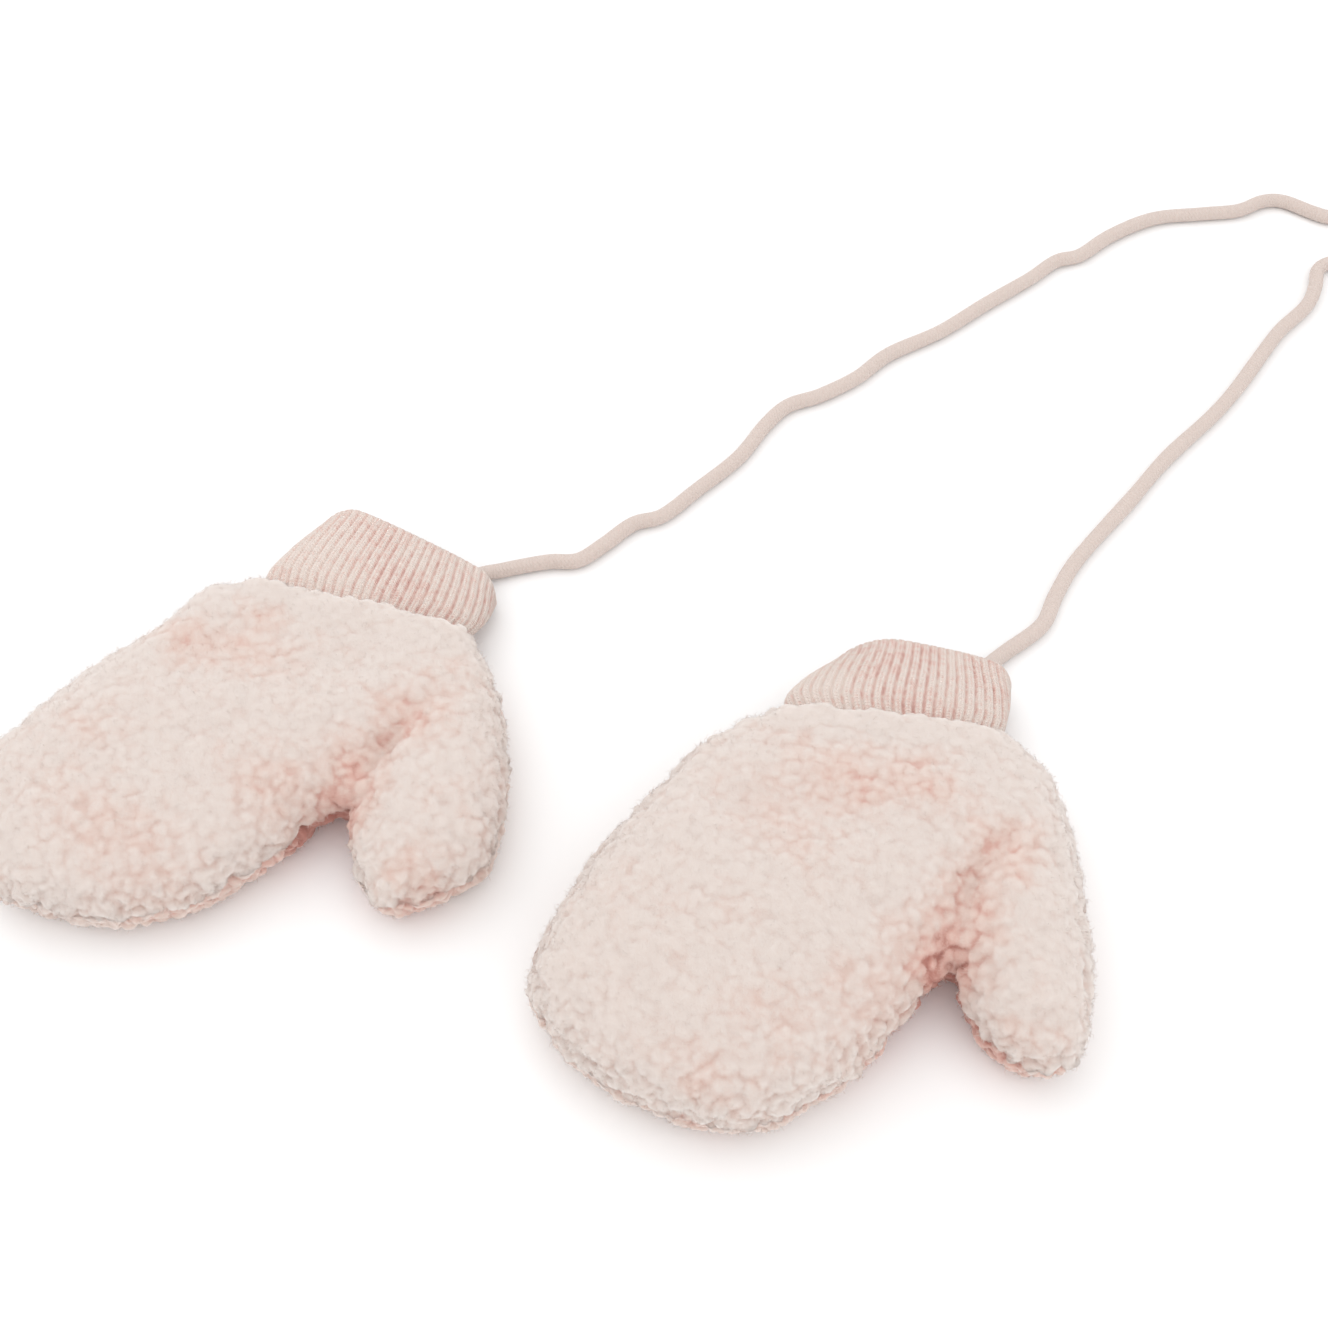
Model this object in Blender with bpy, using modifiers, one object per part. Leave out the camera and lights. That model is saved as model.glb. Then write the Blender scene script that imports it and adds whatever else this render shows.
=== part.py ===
"""Pair of baby mittens in teddy fleece with rib-knit cuffs and a joining cord.

Run with:  blender --background --python part.py

Units are metres, +Z up.  The pair lies on the plane z = 0 with its back
panels up, and the origin is at the bottom centre of the two mittens.  Each
mitten is worked out in its own frame (x towards the thumb, y towards the
cuff, origin at the wrist) and then turned and moved to where it lies.
"""
import math

import bmesh
import bpy
import numpy as np
from mathutils import Vector
from mathutils.geometry import delaunay_2d_cdt

MM = 0.001

# ---- fleece panels -----------------------------------------------------------
SEAM_HEIGHT = 12.0 * MM        # side seam above the surface it lies on
BACK_RISE = 16.5 * MM          # back panel's crown above the side seam
BACK_REACH = 17.0 * MM         # how far in from the seam the crown is reached
PALM_DROP = 14.0 * MM          # palm panel's fullness below the seam, cut flat by the floor
PALM_REACH = 9.0 * MM
FLEECE = 6.0 * MM              # teddy fleece, backing and pile together
WRIST_RISE = 9.8 * MM          # the same measures where the wrist seam draws them in
WRIST_DROP = 9.8 * MM
WRIST_REACH = 7.0 * MM
WRIST_FLEECE = 3.8 * MM
WRIST_BLEND = 26.0 * MM        # over this length the wrist swells to the hand
ROLL_RISE = 1.6 * MM           # soft roll of fleece beside the wrist seam
ROLL_PLACE = 4.0 * MM
ROLL_HALF = 5.5 * MM
GAP = 0.3 * MM                 # between pieces that are sewn together

# ---- rib-knit cuff -----------------------------------------------------------
CUFF_WALL = 2.2 * MM           # rib knit folded double
CUFF_TUCK = 5.0 * MM           # hidden inside the wrist opening
CUFF_SIDE_EASE = 0.6 * MM      # spare room between cuff and fleece at the side seams
RIBS = 48
RIB_HEIGHT = 0.55 * MM
FOLD_ROUND = 1.1 * MM          # radius of the folded mouth edge
SECTION_POWER = 2.8            # 2 is an ellipse, more is boxier
CUFF_SWELL = 1.5 * MM          # the knit springs out just past the wrist seam

# ---- cord --------------------------------------------------------------------
CORD = 4.3 * MM                # diameter of the knit cord
CORD_LEVEL = 2.2 * MM          # height of its middle where it lies on the surface
CORD_STEP = 9.0 * MM           # spacing of the tube's points
COIL_TURN = 10.25 * CORD       # diameter at the middle of the coil's turns
COIL_WIDTH = 2.0 * CORD        # turns side by side
COIL_HEIGHT = 1.9 * CORD       # and one lying on them
COIL_SIDES = 40

# ---- mesh fineness -----------------------------------------------------------
EDGE_STEP = 4.5 * MM
FIELD_STEP = 6.2 * MM
EDGE_RINGS = (0.9 * MM, 2.9 * MM, 6.0 * MM)

# The side seam in the mitten's frame, from the little-finger side of the
# wrist round the fingertips and the thumb to the thumb side of the wrist.
# The last two columns move the left mitten's seam, which lies a bit otherwise.
SEAM_COLUMNS = ("place", "x_mm", "y_mm", "left_dx_mm", "left_dy_mm")
SEAM = (
    ("wrist, little-finger side", -28.6, -17.0, -2.9, -8.0),
    ("heel of the hand", -36.5, -27.5, -2.6, -3.0),
    ("side of the palm", -41.7, -44.0, 2.9, -1.0),
    ("little finger", -46.5, -66.0, 2.4, -0.4),
    ("widest, little-finger side", -48.1, -88.0, 1.0, -1.0),
    ("fingertip corner", -44.7, -109.3, 1.0, -2.8),
    ("fingertips", -25.5, -120.0, 0.8, -3.8),
    ("fingertips, middle", -6.0, -121.4, 0.3, -1.0),
    ("first fingertip", 14.1, -115.4, -2.8, 2.2),
    ("first finger", 27.7, -99.5, -3.4, 1.2),
    ("first finger, root side", 33.7, -80.7, -3.3, 0.8),
    ("crotch, hand side", 37.4, -65.8, -4.4, 0.9),
    ("crotch", 40.2, -59.0, -2.0, -0.4),
    ("crotch, thumb side", 44.0, -65.0, -1.7, -1.0),
    ("thumb, inner side", 52.0, -72.2, -0.8, -0.6),
    ("thumb tip", 62.8, -74.7, -0.3, -1.7),
    ("thumb, outer corner", 73.2, -67.9, -2.5, 1.2),
    ("thumb, outer side", 71.0, -53.0, 4.8, 0.8),
    ("thumb's root", 63.2, -34.0, 3.5, -0.4),
    ("ball of the thumb", 52.1, -14.3, -0.3, -1.3),
    ("above the thumb", 41.7, -1.3, -3.4, -4.6),
    ("wrist, thumb side", 30.7, 3.5, 1.3, -5.7),
)
WRIST_RUN = 45.0 * MM          # the seam lines run on this far past the wrist

# Soft troughs in the back panel: a line in the mitten's frame, its half
# width, and how deep it is at the start and at the end.
TROUGH_COLUMNS = ("name", "x0_mm", "y0_mm", "x1_mm", "y1_mm", "half_mm", "deep0_mm", "deep1_mm")
TROUGHS = (
    ("from the crotch towards the wrist", 38.5, -63.0, 37.0, -28.0, 7.0, 7.5, 1.4),
    ("across the back, below the cuff", -18.0, -46.0, 12.0, -31.0, 10.0, 2.2, 1.4),
    ("across the thumb tip", 57.0, -68.5, 68.0, -64.0, 3.6, 1.4, 1.4),
)

# Where each mitten lies, how plump it is, and how its cuff leans.  The mouth's
# edge falls back at its corners: by how much, from which share of the half
# width, on the little-finger side and on the thumb side.  The ribs run round
# the cuff by the twist between wrist and mouth, and the cuff stands out by the
# bulge on its little-finger side.
PLACE_COLUMNS = ("side", "x_mm", "y_mm", "turn_deg", "breadth", "fullness", "mouth_x_mm",
                 "mouth_y_mm", "mouth_lean_deg", "mouth_width_mm", "mouth_depth_mm",
                 "little_fall_mm", "little_from", "thumb_fall_mm", "thumb_from", "twist_mm",
                 "little_bulge_mm")
PLACES = (
    ("left", -38.5, 60.7, -34.5, 0.98, 0.80, -3.5, 17.0, 3.9, 54.0, 12.0,
     4.4, 0.72, 4.0, 0.74, 7.5, 0.4),
    ("right", 93.6, 19.1, -27.4, 1.00, 1.00, 0.0, 22.4, 13.0, 44.0, 14.0,
     6.8, 0.30, 3.2, 0.78, 7.0, 2.2),
)

# The cord as it lies, seen from above, from its end inside each cuff to the
# coil that takes up the rest of its length.
CORD_COLUMNS = ("x_mm", "y_mm", "z_mm")
CORD_ROUTES = {
    "left": (
        (-22.0, 57.9, 7.5), (-20.5, 61.8, 6.2), (-18.5, 66.1, 5.5), (-15.0, 70.1, 3.7),
        (-9.3, 72.7, 2.2), (2.9, 75.6, 2.2), (11.1, 76.1, 2.2), (18.3, 81.7, 2.2),
        (26.3, 89.1, 2.2), (34.5, 92.1, 2.2), (44.3, 101.6, 2.2), (56.3, 113.7, 2.2),
        (64.5, 126.3, 2.2), (71.5, 134.1, 2.2), (81.1, 138.2, 2.2), (92.5, 145.5, 2.2),
        (102.7, 155.1, 2.2), (119.0, 164.7, 2.2), (133.9, 176.5, 2.2), (148.7, 187.6, 2.2),
        (158.1, 195.7, 2.2), (166.1, 198.5, 2.2), (177.3, 207.7, 2.2), (191.9, 215.5, 2.2),
        (207.2, 217.7, 2.2), (219.5, 219.3, 2.2), (228.3, 223.7, 2.2), (235.1, 223.7, 2.2),
        (243.1, 218.7, 2.2), (248.3, 216.3, 2.2), (254.2, 217.5, 2.2),
    ),
    "right": (
        (114.0, 24.3, 7.6), (115.8, 29.3, 6.3), (117.8, 34.3, 5.6), (120.5, 39.5, 3.7),
        (125.3, 44.5, 2.2), (136.4, 53.6, 2.2), (141.3, 63.3, 2.2), (147.1, 73.5, 2.2),
        (154.5, 83.1, 2.2), (166.9, 97.7, 2.2), (179.7, 113.5, 2.2), (195.7, 129.9, 2.2),
        (205.5, 141.7, 2.2), (215.5, 155.7, 2.2), (222.7, 165.3, 2.2), (232.7, 175.7, 2.2),
        (237.3, 184.3, 2.2), (239.6, 191.6, 2.2), (244.8, 195.0, 2.2), (253.6, 193.2, 2.2),
    ),
}
COIL_CENTRE = (278.4 * MM, 205.2 * MM)

# ---- finishes ----------------------------------------------------------------
FINISHES = {
    "teddy_fleece": ((0.80, 0.67, 0.61), 0.95),
    "rib_knit": ((0.76, 0.62, 0.56), 0.90),
    "cord_knit": ((0.75, 0.63, 0.58), 0.90),
}


def smooth_curve(points, step):
    """Points a step apart along a Catmull-Rom curve through the given ones."""
    p = np.asarray(points, float)
    p = np.vstack([2 * p[0] - p[1], p, 2 * p[-1] - p[-2]])
    t = np.linspace(0.0, 1.0, 24, endpoint=False)[:, None]
    fine = [0.5 * (2 * b + (c - a) * t + (2 * a - 5 * b + 4 * c - d) * t ** 2
                   + (3 * b - a - 3 * c + d) * t ** 3)
            for a, b, c, d in zip(p[:-3], p[1:-2], p[2:-1], p[3:])]
    fine = np.vstack(fine + [p[-2][None]])
    run = np.r_[0.0, np.cumsum(np.linalg.norm(np.diff(fine, axis=0), axis=1))]
    at = np.linspace(0.0, run[-1], max(2, int(round(run[-1] / step)) + 1))
    return np.stack([np.interp(at, run, fine[:, k]) for k in range(fine.shape[1])], axis=1)


def eased(t):
    """0 to 1 with level ends."""
    t = np.clip(t, 0.0, 1.0)
    return t * t * (3.0 - 2.0 * t)


def rounded_section(width, depth, count, start=0.0):
    """Evenly spread points round a flattened tube's section, and their normals."""
    t = np.linspace(0.0, 2.0 * math.pi, 1441)
    power = 2.0 / SECTION_POWER
    x = 0.5 * width * np.sign(np.cos(t)) * np.abs(np.cos(t)) ** power
    z = 0.5 * depth * np.sign(np.sin(t)) * np.abs(np.sin(t)) ** power
    run = np.r_[0.0, np.cumsum(np.hypot(np.diff(x), np.diff(z)))]
    at = (np.linspace(0.0, run[-1], count, endpoint=False) + start) % run[-1]
    section = np.column_stack([np.interp(at, run, x), np.interp(at, run, z)])
    tangent = np.roll(section, -1, axis=0) - np.roll(section, 1, axis=0)
    tangent /= np.linalg.norm(tangent, axis=1)[:, None]
    return section, np.column_stack([tangent[:, 1], -tangent[:, 0]])


class Mitten:
    """One mitten: its two fleece panels and its cuff, as closed walls."""

    def __init__(self, place):
        self.place = place
        shift = 1.0 if place["side"] == "left" else 0.0
        rows = [dict(zip(SEAM_COLUMNS, row)) for row in SEAM]
        self.corners = np.array([(r["x_mm"] + shift * r["left_dx_mm"],
                                  r["y_mm"] + shift * r["left_dy_mm"]) for r in rows]) * MM
        self.corners[:, 0] *= place["breadth"]
        first, last = self.corners[0], self.corners[-1]
        self.wrist_width = float(np.linalg.norm(last - first))
        self.wrist = 0.5 * (first + last)
        self.along = (last - first) / self.wrist_width
        self.out = np.array([-self.along[1], self.along[0]])
        self.mouth = np.array([place["mouth_x_mm"], place["mouth_y_mm"]]) * MM
        self.long_seam = self.extended_seam(1.5 * MM)

    def seam(self, step):
        """The side seam from wrist to wrist."""
        return smooth_curve(self.corners, step)

    def extended_seam(self, step):
        """The seam with its ends run on past the wrist, as a sleeve would."""
        line = self.seam(step)
        run = np.arange(step, WRIST_RUN, step)[:, None] * self.out
        return np.vstack([(line[0] + run)[::-1], line, line[-1] + run])

    def seam_distance(self, points):
        """A smooth distance to the seam, without a ridge down the middle."""
        middle = 0.5 * (self.long_seam[1:] + self.long_seam[:-1])
        length = np.linalg.norm(np.diff(self.long_seam, axis=0), axis=1)
        soft = 0.35 * MM
        square = ((points[:, None] - middle[None]) ** 2).sum(axis=2) + soft ** 2
        return np.maximum(np.sqrt(2.0 / (length / square ** 1.5).sum(axis=1)) - soft, 0.0)

    def hand_share(self, points):
        """0 at the wrist line, 1 where the hand has its full thickness."""
        return eased(-((points - self.wrist) @ self.out) / WRIST_BLEND)

    def dome(self, points, reach):
        """0 at the seam, rising upright from it to 1 in the middle."""
        share = self.hand_share(points)
        reach = WRIST_REACH + (reach - WRIST_REACH) * share
        return np.sqrt(1.0 - np.exp(-2.0 * self.seam_distance(points) / reach))

    def trough_depth(self, points):
        """How much the soft troughs lower the back panel."""
        depth = np.zeros(len(points))
        for row in TROUGHS:
            r = dict(zip(TROUGH_COLUMNS, row))
            start = np.array([r["x0_mm"], r["y0_mm"]]) * MM
            way = np.array([r["x1_mm"], r["y1_mm"]]) * MM - start
            t = np.clip((points - start) @ way / (way @ way), 0.0, 1.0)
            off = np.linalg.norm(points - (start + t[:, None] * way), axis=1)
            deep = r["deep0_mm"] + (r["deep1_mm"] - r["deep0_mm"]) * t
            depth += deep * MM * np.exp(-(off / (r["half_mm"] * MM)) ** 2)
        return depth

    def back_height(self, points):
        """Height of the back panel's outer side."""
        full = BACK_RISE * self.place["fullness"]
        low = WRIST_RISE * (0.3 + 0.7 * self.place["fullness"])
        rise = low + (full - low) * self.hand_share(points)
        dome = self.dome(points, BACK_REACH)
        past = (ROLL_PLACE + (points - self.wrist) @ self.out) / ROLL_HALF
        roll = ROLL_RISE * np.exp(-past ** 2)
        return SEAM_HEIGHT + rise * dome + (roll - self.trough_depth(points)) * dome ** 2

    def palm_height(self, points):
        """Height of the palm panel's outer side, before the floor cuts it flat."""
        drop = WRIST_DROP + (PALM_DROP - WRIST_DROP) * self.hand_share(points)
        return SEAM_HEIGHT - drop * self.dome(points, PALM_REACH)

    def plan(self):
        """Flat triangles over one panel: the seam, rings beside it, and a field."""
        seam = self.seam(EDGE_STEP)
        tangent = np.gradient(seam, axis=0)
        tangent /= np.linalg.norm(tangent, axis=1)[:, None]
        outward = np.column_stack([tangent[:, 1], -tangent[:, 0]])
        outward[0], outward[-1] = -self.along, self.along
        across = self.wrist_steps()
        wrist = seam[-1] - across[:, None] * self.along
        rim = np.vstack([seam, wrist])
        inside = [p for distance in EDGE_RINGS
                  for p in self.ring_points(seam, outward, distance)]
        inside += self.field_points(rim)
        points = np.vstack([rim, inside])
        edges = [(k, (k + 1) % len(rim)) for k in range(len(rim))]
        found = delaunay_2d_cdt([Vector(p) for p in points], edges, [], 1, 1e-9)
        origin = [int(o[0]) for o in found[3]]
        faces = [tuple(origin[i] for i in face) for face in found[2]]
        return points, faces, len(rim), outward

    def wrist_steps(self):
        """Distances along the wrist line of its points, closer at the seams."""
        count = int(round((self.wrist_width - 2.0 * EDGE_RINGS[-1]) / FIELD_STEP))
        field = np.linspace(EDGE_RINGS[-1], self.wrist_width - EDGE_RINGS[-1], count + 1)
        near = np.array(EDGE_RINGS[:-1])
        return np.concatenate([near, field, self.wrist_width - near[::-1]])

    def ring_points(self, seam, outward, distance):
        """Points beside the seam, where they are clear of its other stretches."""
        stride = 1 if distance < EDGE_RINGS[-1] else 2
        moved = (seam - outward * distance)[1:-1:stride]
        return [p for p in moved if self.clear(p, 0.93 * distance)
                and (p - self.wrist) @ self.out < -0.45 * FIELD_STEP]

    def field_points(self, rim):
        """A triangular grid in the middle of the panel."""
        lows, highs = rim.min(axis=0), rim.max(axis=0)
        row_step = FIELD_STEP * math.sqrt(3.0) / 2.0
        found = []
        for r in range(int((highs[1] - lows[1]) / row_step) + 1):
            for c in range(int((highs[0] - lows[0]) / FIELD_STEP) + 2):
                p = lows + np.array([(c + 0.5 * (r % 2)) * FIELD_STEP, r * row_step])
                if (inside_outline(p, rim) and (p - self.wrist) @ self.out < -0.7 * FIELD_STEP
                        and self.clear(p, EDGE_RINGS[-1] + 0.55 * FIELD_STEP)):
                    found.append(p)
        return found

    def clear(self, p, distance):
        """True where a point is farther than this from the seam."""
        return np.linalg.norm(self.long_seam - p, axis=1).min() > distance

    def panel(self, plan, up):
        """One closed fleece wall over the plan: the back (up) or the palm."""
        flat, faces, rim, outward = plan
        sewn = len(outward)
        height = self.back_height if up else self.palm_height
        edge = SEAM_HEIGHT + (0.5 if up else -0.5) * GAP
        sign = 1.0 if up else -1.0
        wall = WRIST_FLEECE + (FLEECE - WRIST_FLEECE) * self.hand_share(flat)
        normal = field_normals(height, flat) * np.array([sign, sign, 1.0])
        normal[:sewn] = np.column_stack([outward, np.zeros(sewn)])
        z = sign * np.maximum(sign * height(flat), sign * edge)
        z[:sewn] = edge
        z = np.maximum(z, 0.0)
        inner_z = z - sign * wall * normal[:, 2]
        least = np.where(np.arange(len(flat)) < sewn, 0.0, 0.2 * MM)
        inner_z = edge + sign * np.maximum(sign * (inner_z - edge), least)
        inner = flat - normal[:, :2] * wall[:, None]
        # at the wrist the cut edge stays in its own plane
        over = (inner - self.wrist) @ self.out
        open_edge = np.zeros(len(flat), bool)
        open_edge[[0, *range(sewn - 1, rim)]] = True
        inner -= np.where(open_edge | (over > 0.0), over, 0.0)[:, None] * self.out
        return close_shell(np.column_stack([flat, z]), np.column_stack([inner, inner_z]),
                           faces, rim)

    def wrist_hollow(self, side_offset):
        """Lowest and highest level inside the wrist opening, beside its middle."""
        points = self.wrist + np.atleast_1d(side_offset)[:, None] * self.along
        low = np.maximum(self.palm_height(points), 0.0) + WRIST_FLEECE
        return low, self.back_height(points) - WRIST_FLEECE

    def base_size(self):
        """Width, depth and level of the largest cuff base that clears the fleece."""
        width = self.wrist_width - 2.0 * (WRIST_FLEECE + GAP + CUFF_SIDE_EASE)
        section, _ = rounded_section(width, 1.0, 2 * RIBS)
        middle = np.abs(section[:, 1]) > 0.25
        low, high = self.wrist_hollow(section[middle, 0])
        half = np.abs(section[middle, 1])
        up = section[middle, 1] > 0.0
        level = 0.5 * (low.max() + high.min())
        room = np.where(up, high - GAP - level, level - low - GAP) / half
        return width, float(room.min()), float(level)

    def cuff_station(self, t):
        """Centre, side direction, width, depth and level a share t of the way out."""
        base_width, base_depth, base_level = self.base_size()
        ease = max(t, 0.0)
        lean = math.radians(self.place["mouth_lean_deg"])
        side = self.along * (1.0 - ease) + np.array([math.cos(lean), math.sin(lean)]) * ease
        side /= np.linalg.norm(side)
        length = float(np.linalg.norm(self.mouth - self.wrist))
        centre = self.wrist + (self.mouth - self.wrist) * t
        if t < 0.0:
            centre = self.wrist + self.out * length * t
        swell = CUFF_SWELL * eased(t / 0.3) * (1.0 - 0.6 * eased((t - 0.5) / 0.5))
        bulge = self.place["little_bulge_mm"] * MM * eased(t / 0.25)
        bulge *= 1.0 - eased((t - 0.3) / 0.6)
        centre = centre - 0.5 * bulge * side
        mouth_width = self.place["mouth_width_mm"] * MM
        mouth_depth = self.place["mouth_depth_mm"] * MM
        width = base_width + (mouth_width - base_width) * ease + 2.0 * swell + bulge
        depth = base_depth + (mouth_depth - base_depth) * ease + 2.0 * swell
        level = base_level + (0.5 * mouth_depth - base_level) * ease
        return centre, side, width, depth, level

    def corner_fall(self, across):
        """How far the mouth's edge falls back, -1 and 1 being its two corners."""
        place = self.place
        little = np.maximum(-across - place["little_from"], 0.0) / (1.0 - place["little_from"])
        thumb = np.maximum(across - place["thumb_from"], 0.0) / (1.0 - place["thumb_from"])
        return (place["little_fall_mm"] * little ** 2 + place["thumb_fall_mm"] * thumb ** 2) * MM

    def cuff_rows(self):
        """Rows of the cuff: share of the way out, how far in, how much ribbed."""
        length = float(np.linalg.norm(self.mouth - self.wrist))
        tuck, fold = -CUFF_TUCK / length, FOLD_ROUND / length
        return (
            (tuck, 0.0, 0.0), (0.02, 0.0, 0.3), (0.2, 0.0, 1.0), (0.45, 0.0, 1.0),
            (0.72, 0.0, 1.0), (1.0 - fold, 0.0, 0.9), (1.0, FOLD_ROUND, 0.0),
            (1.0 - fold, CUFF_WALL, 0.0), (0.5, CUFF_WALL, 0.0), (tuck, CUFF_WALL, 0.0),
        )

    def cuff(self):
        """The rib-knit tube, folded double at its mouth, ribs raised on its outside."""
        count = 2 * RIBS
        furrow = (np.arange(count) % 2).astype(float)
        rings = []
        for t, inward, ribbed in self.cuff_rows():
            centre, side, width, depth, level = self.cuff_station(t)
            twist = self.place["twist_mm"] * MM * max(t, 0.0)
            section, normal = rounded_section(width - 2 * inward, depth - 2 * inward, count, twist)
            section = section - normal * (RIB_HEIGHT * ribbed * furrow)[:, None]
            floor = inward if inward >= CUFF_WALL else 0.0
            z = np.maximum(level + section[:, 1], floor)
            ahead = np.array([-side[1], side[0]])
            back = self.corner_fall(2.0 * section[:, 0] / width) * max(t, 0.0) ** 2
            rings.append(np.column_stack([centre + section[:, :1] * side
                                          - back[:, None] * ahead, z]))
        faces = []
        for r in range(len(rings)):
            here, there = r * count, (r + 1) % len(rings) * count
            for k in range(count):
                k1 = (k + 1) % count
                faces.append((here + k, here + k1, there + k1, there + k))
        return np.vstack(rings), faces

    def placed(self, points):
        """Turn and move points from the mitten's frame to where it lies."""
        turn = math.radians(self.place["turn_deg"])
        c, s = math.cos(turn), math.sin(turn)
        at = np.array([self.place["x_mm"], self.place["y_mm"]]) * MM
        return np.column_stack([points[:, :2] @ np.array([[c, s], [-s, c]]) + at, points[:, 2]])


def inside_outline(p, outline):
    """True where a ray from the point crosses the outline an odd number of times."""
    a, b = outline, np.roll(outline, -1, axis=0)
    crosses = (a[:, 1] > p[1]) != (b[:, 1] > p[1])
    a, b = a[crosses], b[crosses]
    x = a[:, 0] + (p[1] - a[:, 1]) / (b[:, 1] - a[:, 1]) * (b[:, 0] - a[:, 0])
    return bool(np.count_nonzero(x > p[0]) % 2)


def field_normals(height, points):
    """Upward unit normals of a height field."""
    h = 0.4 * MM
    steps = (np.array([h, 0.0]), np.array([0.0, h]))
    slope = np.stack([(height(points + d) - height(points - d)) / (2 * h) for d in steps], axis=1)
    normal = np.column_stack([-slope, np.ones(len(points))])
    return normal / np.linalg.norm(normal, axis=1)[:, None]


def close_shell(outer, inner, faces, rim):
    """Join an outer and an inner side of like layout round their rim."""
    n = len(outer)
    quads = [(k, (k + 1) % rim, (k + 1) % rim + n, k + n) for k in range(rim)]
    return np.vstack([outer, inner]), faces + [tuple(i + n for i in f[::-1]) for f in faces] + quads


def finish_material(name):
    """A Principled material of the named finish."""
    if name in bpy.data.materials:
        return bpy.data.materials[name]
    colour, roughness = FINISHES[name]
    material = bpy.data.materials.new(name)
    material.use_nodes = True
    shader = material.node_tree.nodes["Principled BSDF"]
    shader.inputs["Base Color"].default_value = (*colour, 1.0)
    shader.inputs["Roughness"].default_value = roughness
    shader.inputs["Metallic"].default_value = 0.0
    return material


def add_solid(name, points, faces, finish, parts):
    """A closed mesh object with its faces pointing out."""
    mesh = bpy.data.meshes.new(name)
    mesh.from_pydata([tuple(map(float, p)) for p in points], [], faces)
    work = bmesh.new()
    work.from_mesh(mesh)
    bmesh.ops.recalc_face_normals(work, faces=work.faces)
    work.to_mesh(mesh)
    work.free()
    mesh.shade_smooth()
    mesh.materials.append(finish_material(finish))
    parts.objects.link(bpy.data.objects.new(name, mesh))


def add_cord(name, route, parts):
    """A round cord through a route's points, as a bevelled curve with closed ends."""
    points = smooth_curve([(x * MM, y * MM, z * MM) for x, y, z in route], CORD_STEP)
    points[:, 2] = np.maximum(points[:, 2], CORD_LEVEL)
    curve = bpy.data.curves.new(name, "CURVE")
    curve.dimensions = "3D"
    curve.bevel_depth = 0.5 * CORD
    curve.bevel_resolution = 2
    curve.use_fill_caps = True
    spline = curve.splines.new("POLY")
    spline.points.add(len(points) - 1)
    for point, place in zip(spline.points, points):
        point.co = (*place, 1.0)
    curve.materials.append(finish_material("cord_knit"))
    parts.objects.link(bpy.data.objects.new(name, curve))


def add_coil(name, parts):
    """The turned ring that holds the cord's coiled length."""
    inner, outer = 0.5 * (COIL_TURN - COIL_WIDTH), 0.5 * (COIL_TURN + COIL_WIDTH)
    bevel, low, high = 0.25 * CORD, 0.05 * MM, COIL_HEIGHT
    profile = ((outer, high - bevel), (outer, low + bevel), (outer - bevel, low),
               (inner + bevel, low), (inner, low + bevel), (inner, high - bevel),
               (inner + bevel, high), (outer - bevel, high))
    mesh = bpy.data.meshes.new(name)
    count = len(profile)
    mesh.from_pydata([(r, 0.0, z) for r, z in profile],
                     [(k, (k + 1) % count) for k in range(count)], [])
    mesh.materials.append(finish_material("cord_knit"))
    coil = bpy.data.objects.new(name, mesh)
    coil.location = (*COIL_CENTRE, 0.0)
    screw = coil.modifiers.new("turn", "SCREW")
    screw.steps = screw.render_steps = COIL_SIDES
    screw.use_merge_vertices = True
    screw.merge_threshold = 0.0001
    parts.objects.link(coil)


def main():
    for thing in list(bpy.data.objects):
        bpy.data.objects.remove(thing, do_unlink=True)
    parts = bpy.data.collections.new("baby_mittens")
    bpy.context.scene.collection.children.link(parts)
    for row in PLACES:
        mitten = Mitten(dict(zip(PLACE_COLUMNS, row)))
        side = mitten.place["side"]
        plan = mitten.plan()
        pieces = (("back_panel", mitten.panel(plan, True), "teddy_fleece"),
                  ("palm_panel", mitten.panel(plan, False), "teddy_fleece"),
                  ("cuff", mitten.cuff(), "rib_knit"))
        for piece, (points, faces), finish in pieces:
            add_solid(f"{side}_{piece}", mitten.placed(points), faces, finish, parts)
        add_cord(f"cord_{side}", CORD_ROUTES[side], parts)
    add_coil("cord_coil", parts)


main()
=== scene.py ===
"""A pair of baby mittens in teddy fleece, with rib-knit cuffs and a knit joining cord.

Lengths are in metres, +Z is up and the mittens lie on z = 0 with their backs
up.  Each mitten is worked out in its own frame (x towards the thumb, y towards
the cuff, origin at the wrist) and then turned and moved to where it lies.
"""
import itertools
import logging
import math
from dataclasses import dataclass, field
from enum import Enum

import bpy
import numpy as np
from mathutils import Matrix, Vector
from mathutils.geometry import delaunay_2d_cdt


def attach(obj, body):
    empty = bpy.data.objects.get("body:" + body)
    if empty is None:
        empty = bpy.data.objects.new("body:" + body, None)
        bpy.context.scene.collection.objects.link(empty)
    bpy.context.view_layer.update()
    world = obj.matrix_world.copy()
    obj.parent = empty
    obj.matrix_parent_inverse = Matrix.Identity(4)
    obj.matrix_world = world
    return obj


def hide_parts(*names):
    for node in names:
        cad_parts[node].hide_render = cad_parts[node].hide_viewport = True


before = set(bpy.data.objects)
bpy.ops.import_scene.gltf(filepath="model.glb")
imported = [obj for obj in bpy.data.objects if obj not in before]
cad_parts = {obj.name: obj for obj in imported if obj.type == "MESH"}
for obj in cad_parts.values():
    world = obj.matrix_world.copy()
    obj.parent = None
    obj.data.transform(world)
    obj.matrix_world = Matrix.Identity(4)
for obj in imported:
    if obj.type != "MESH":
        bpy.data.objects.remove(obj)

LOG = logging.getLogger("mittens")
MM = 0.001
BODY = "root"
FLOOR_CLEARANCE = 0.12 * MM
Array = np.ndarray
Colour = tuple[float, float, float]


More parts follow.
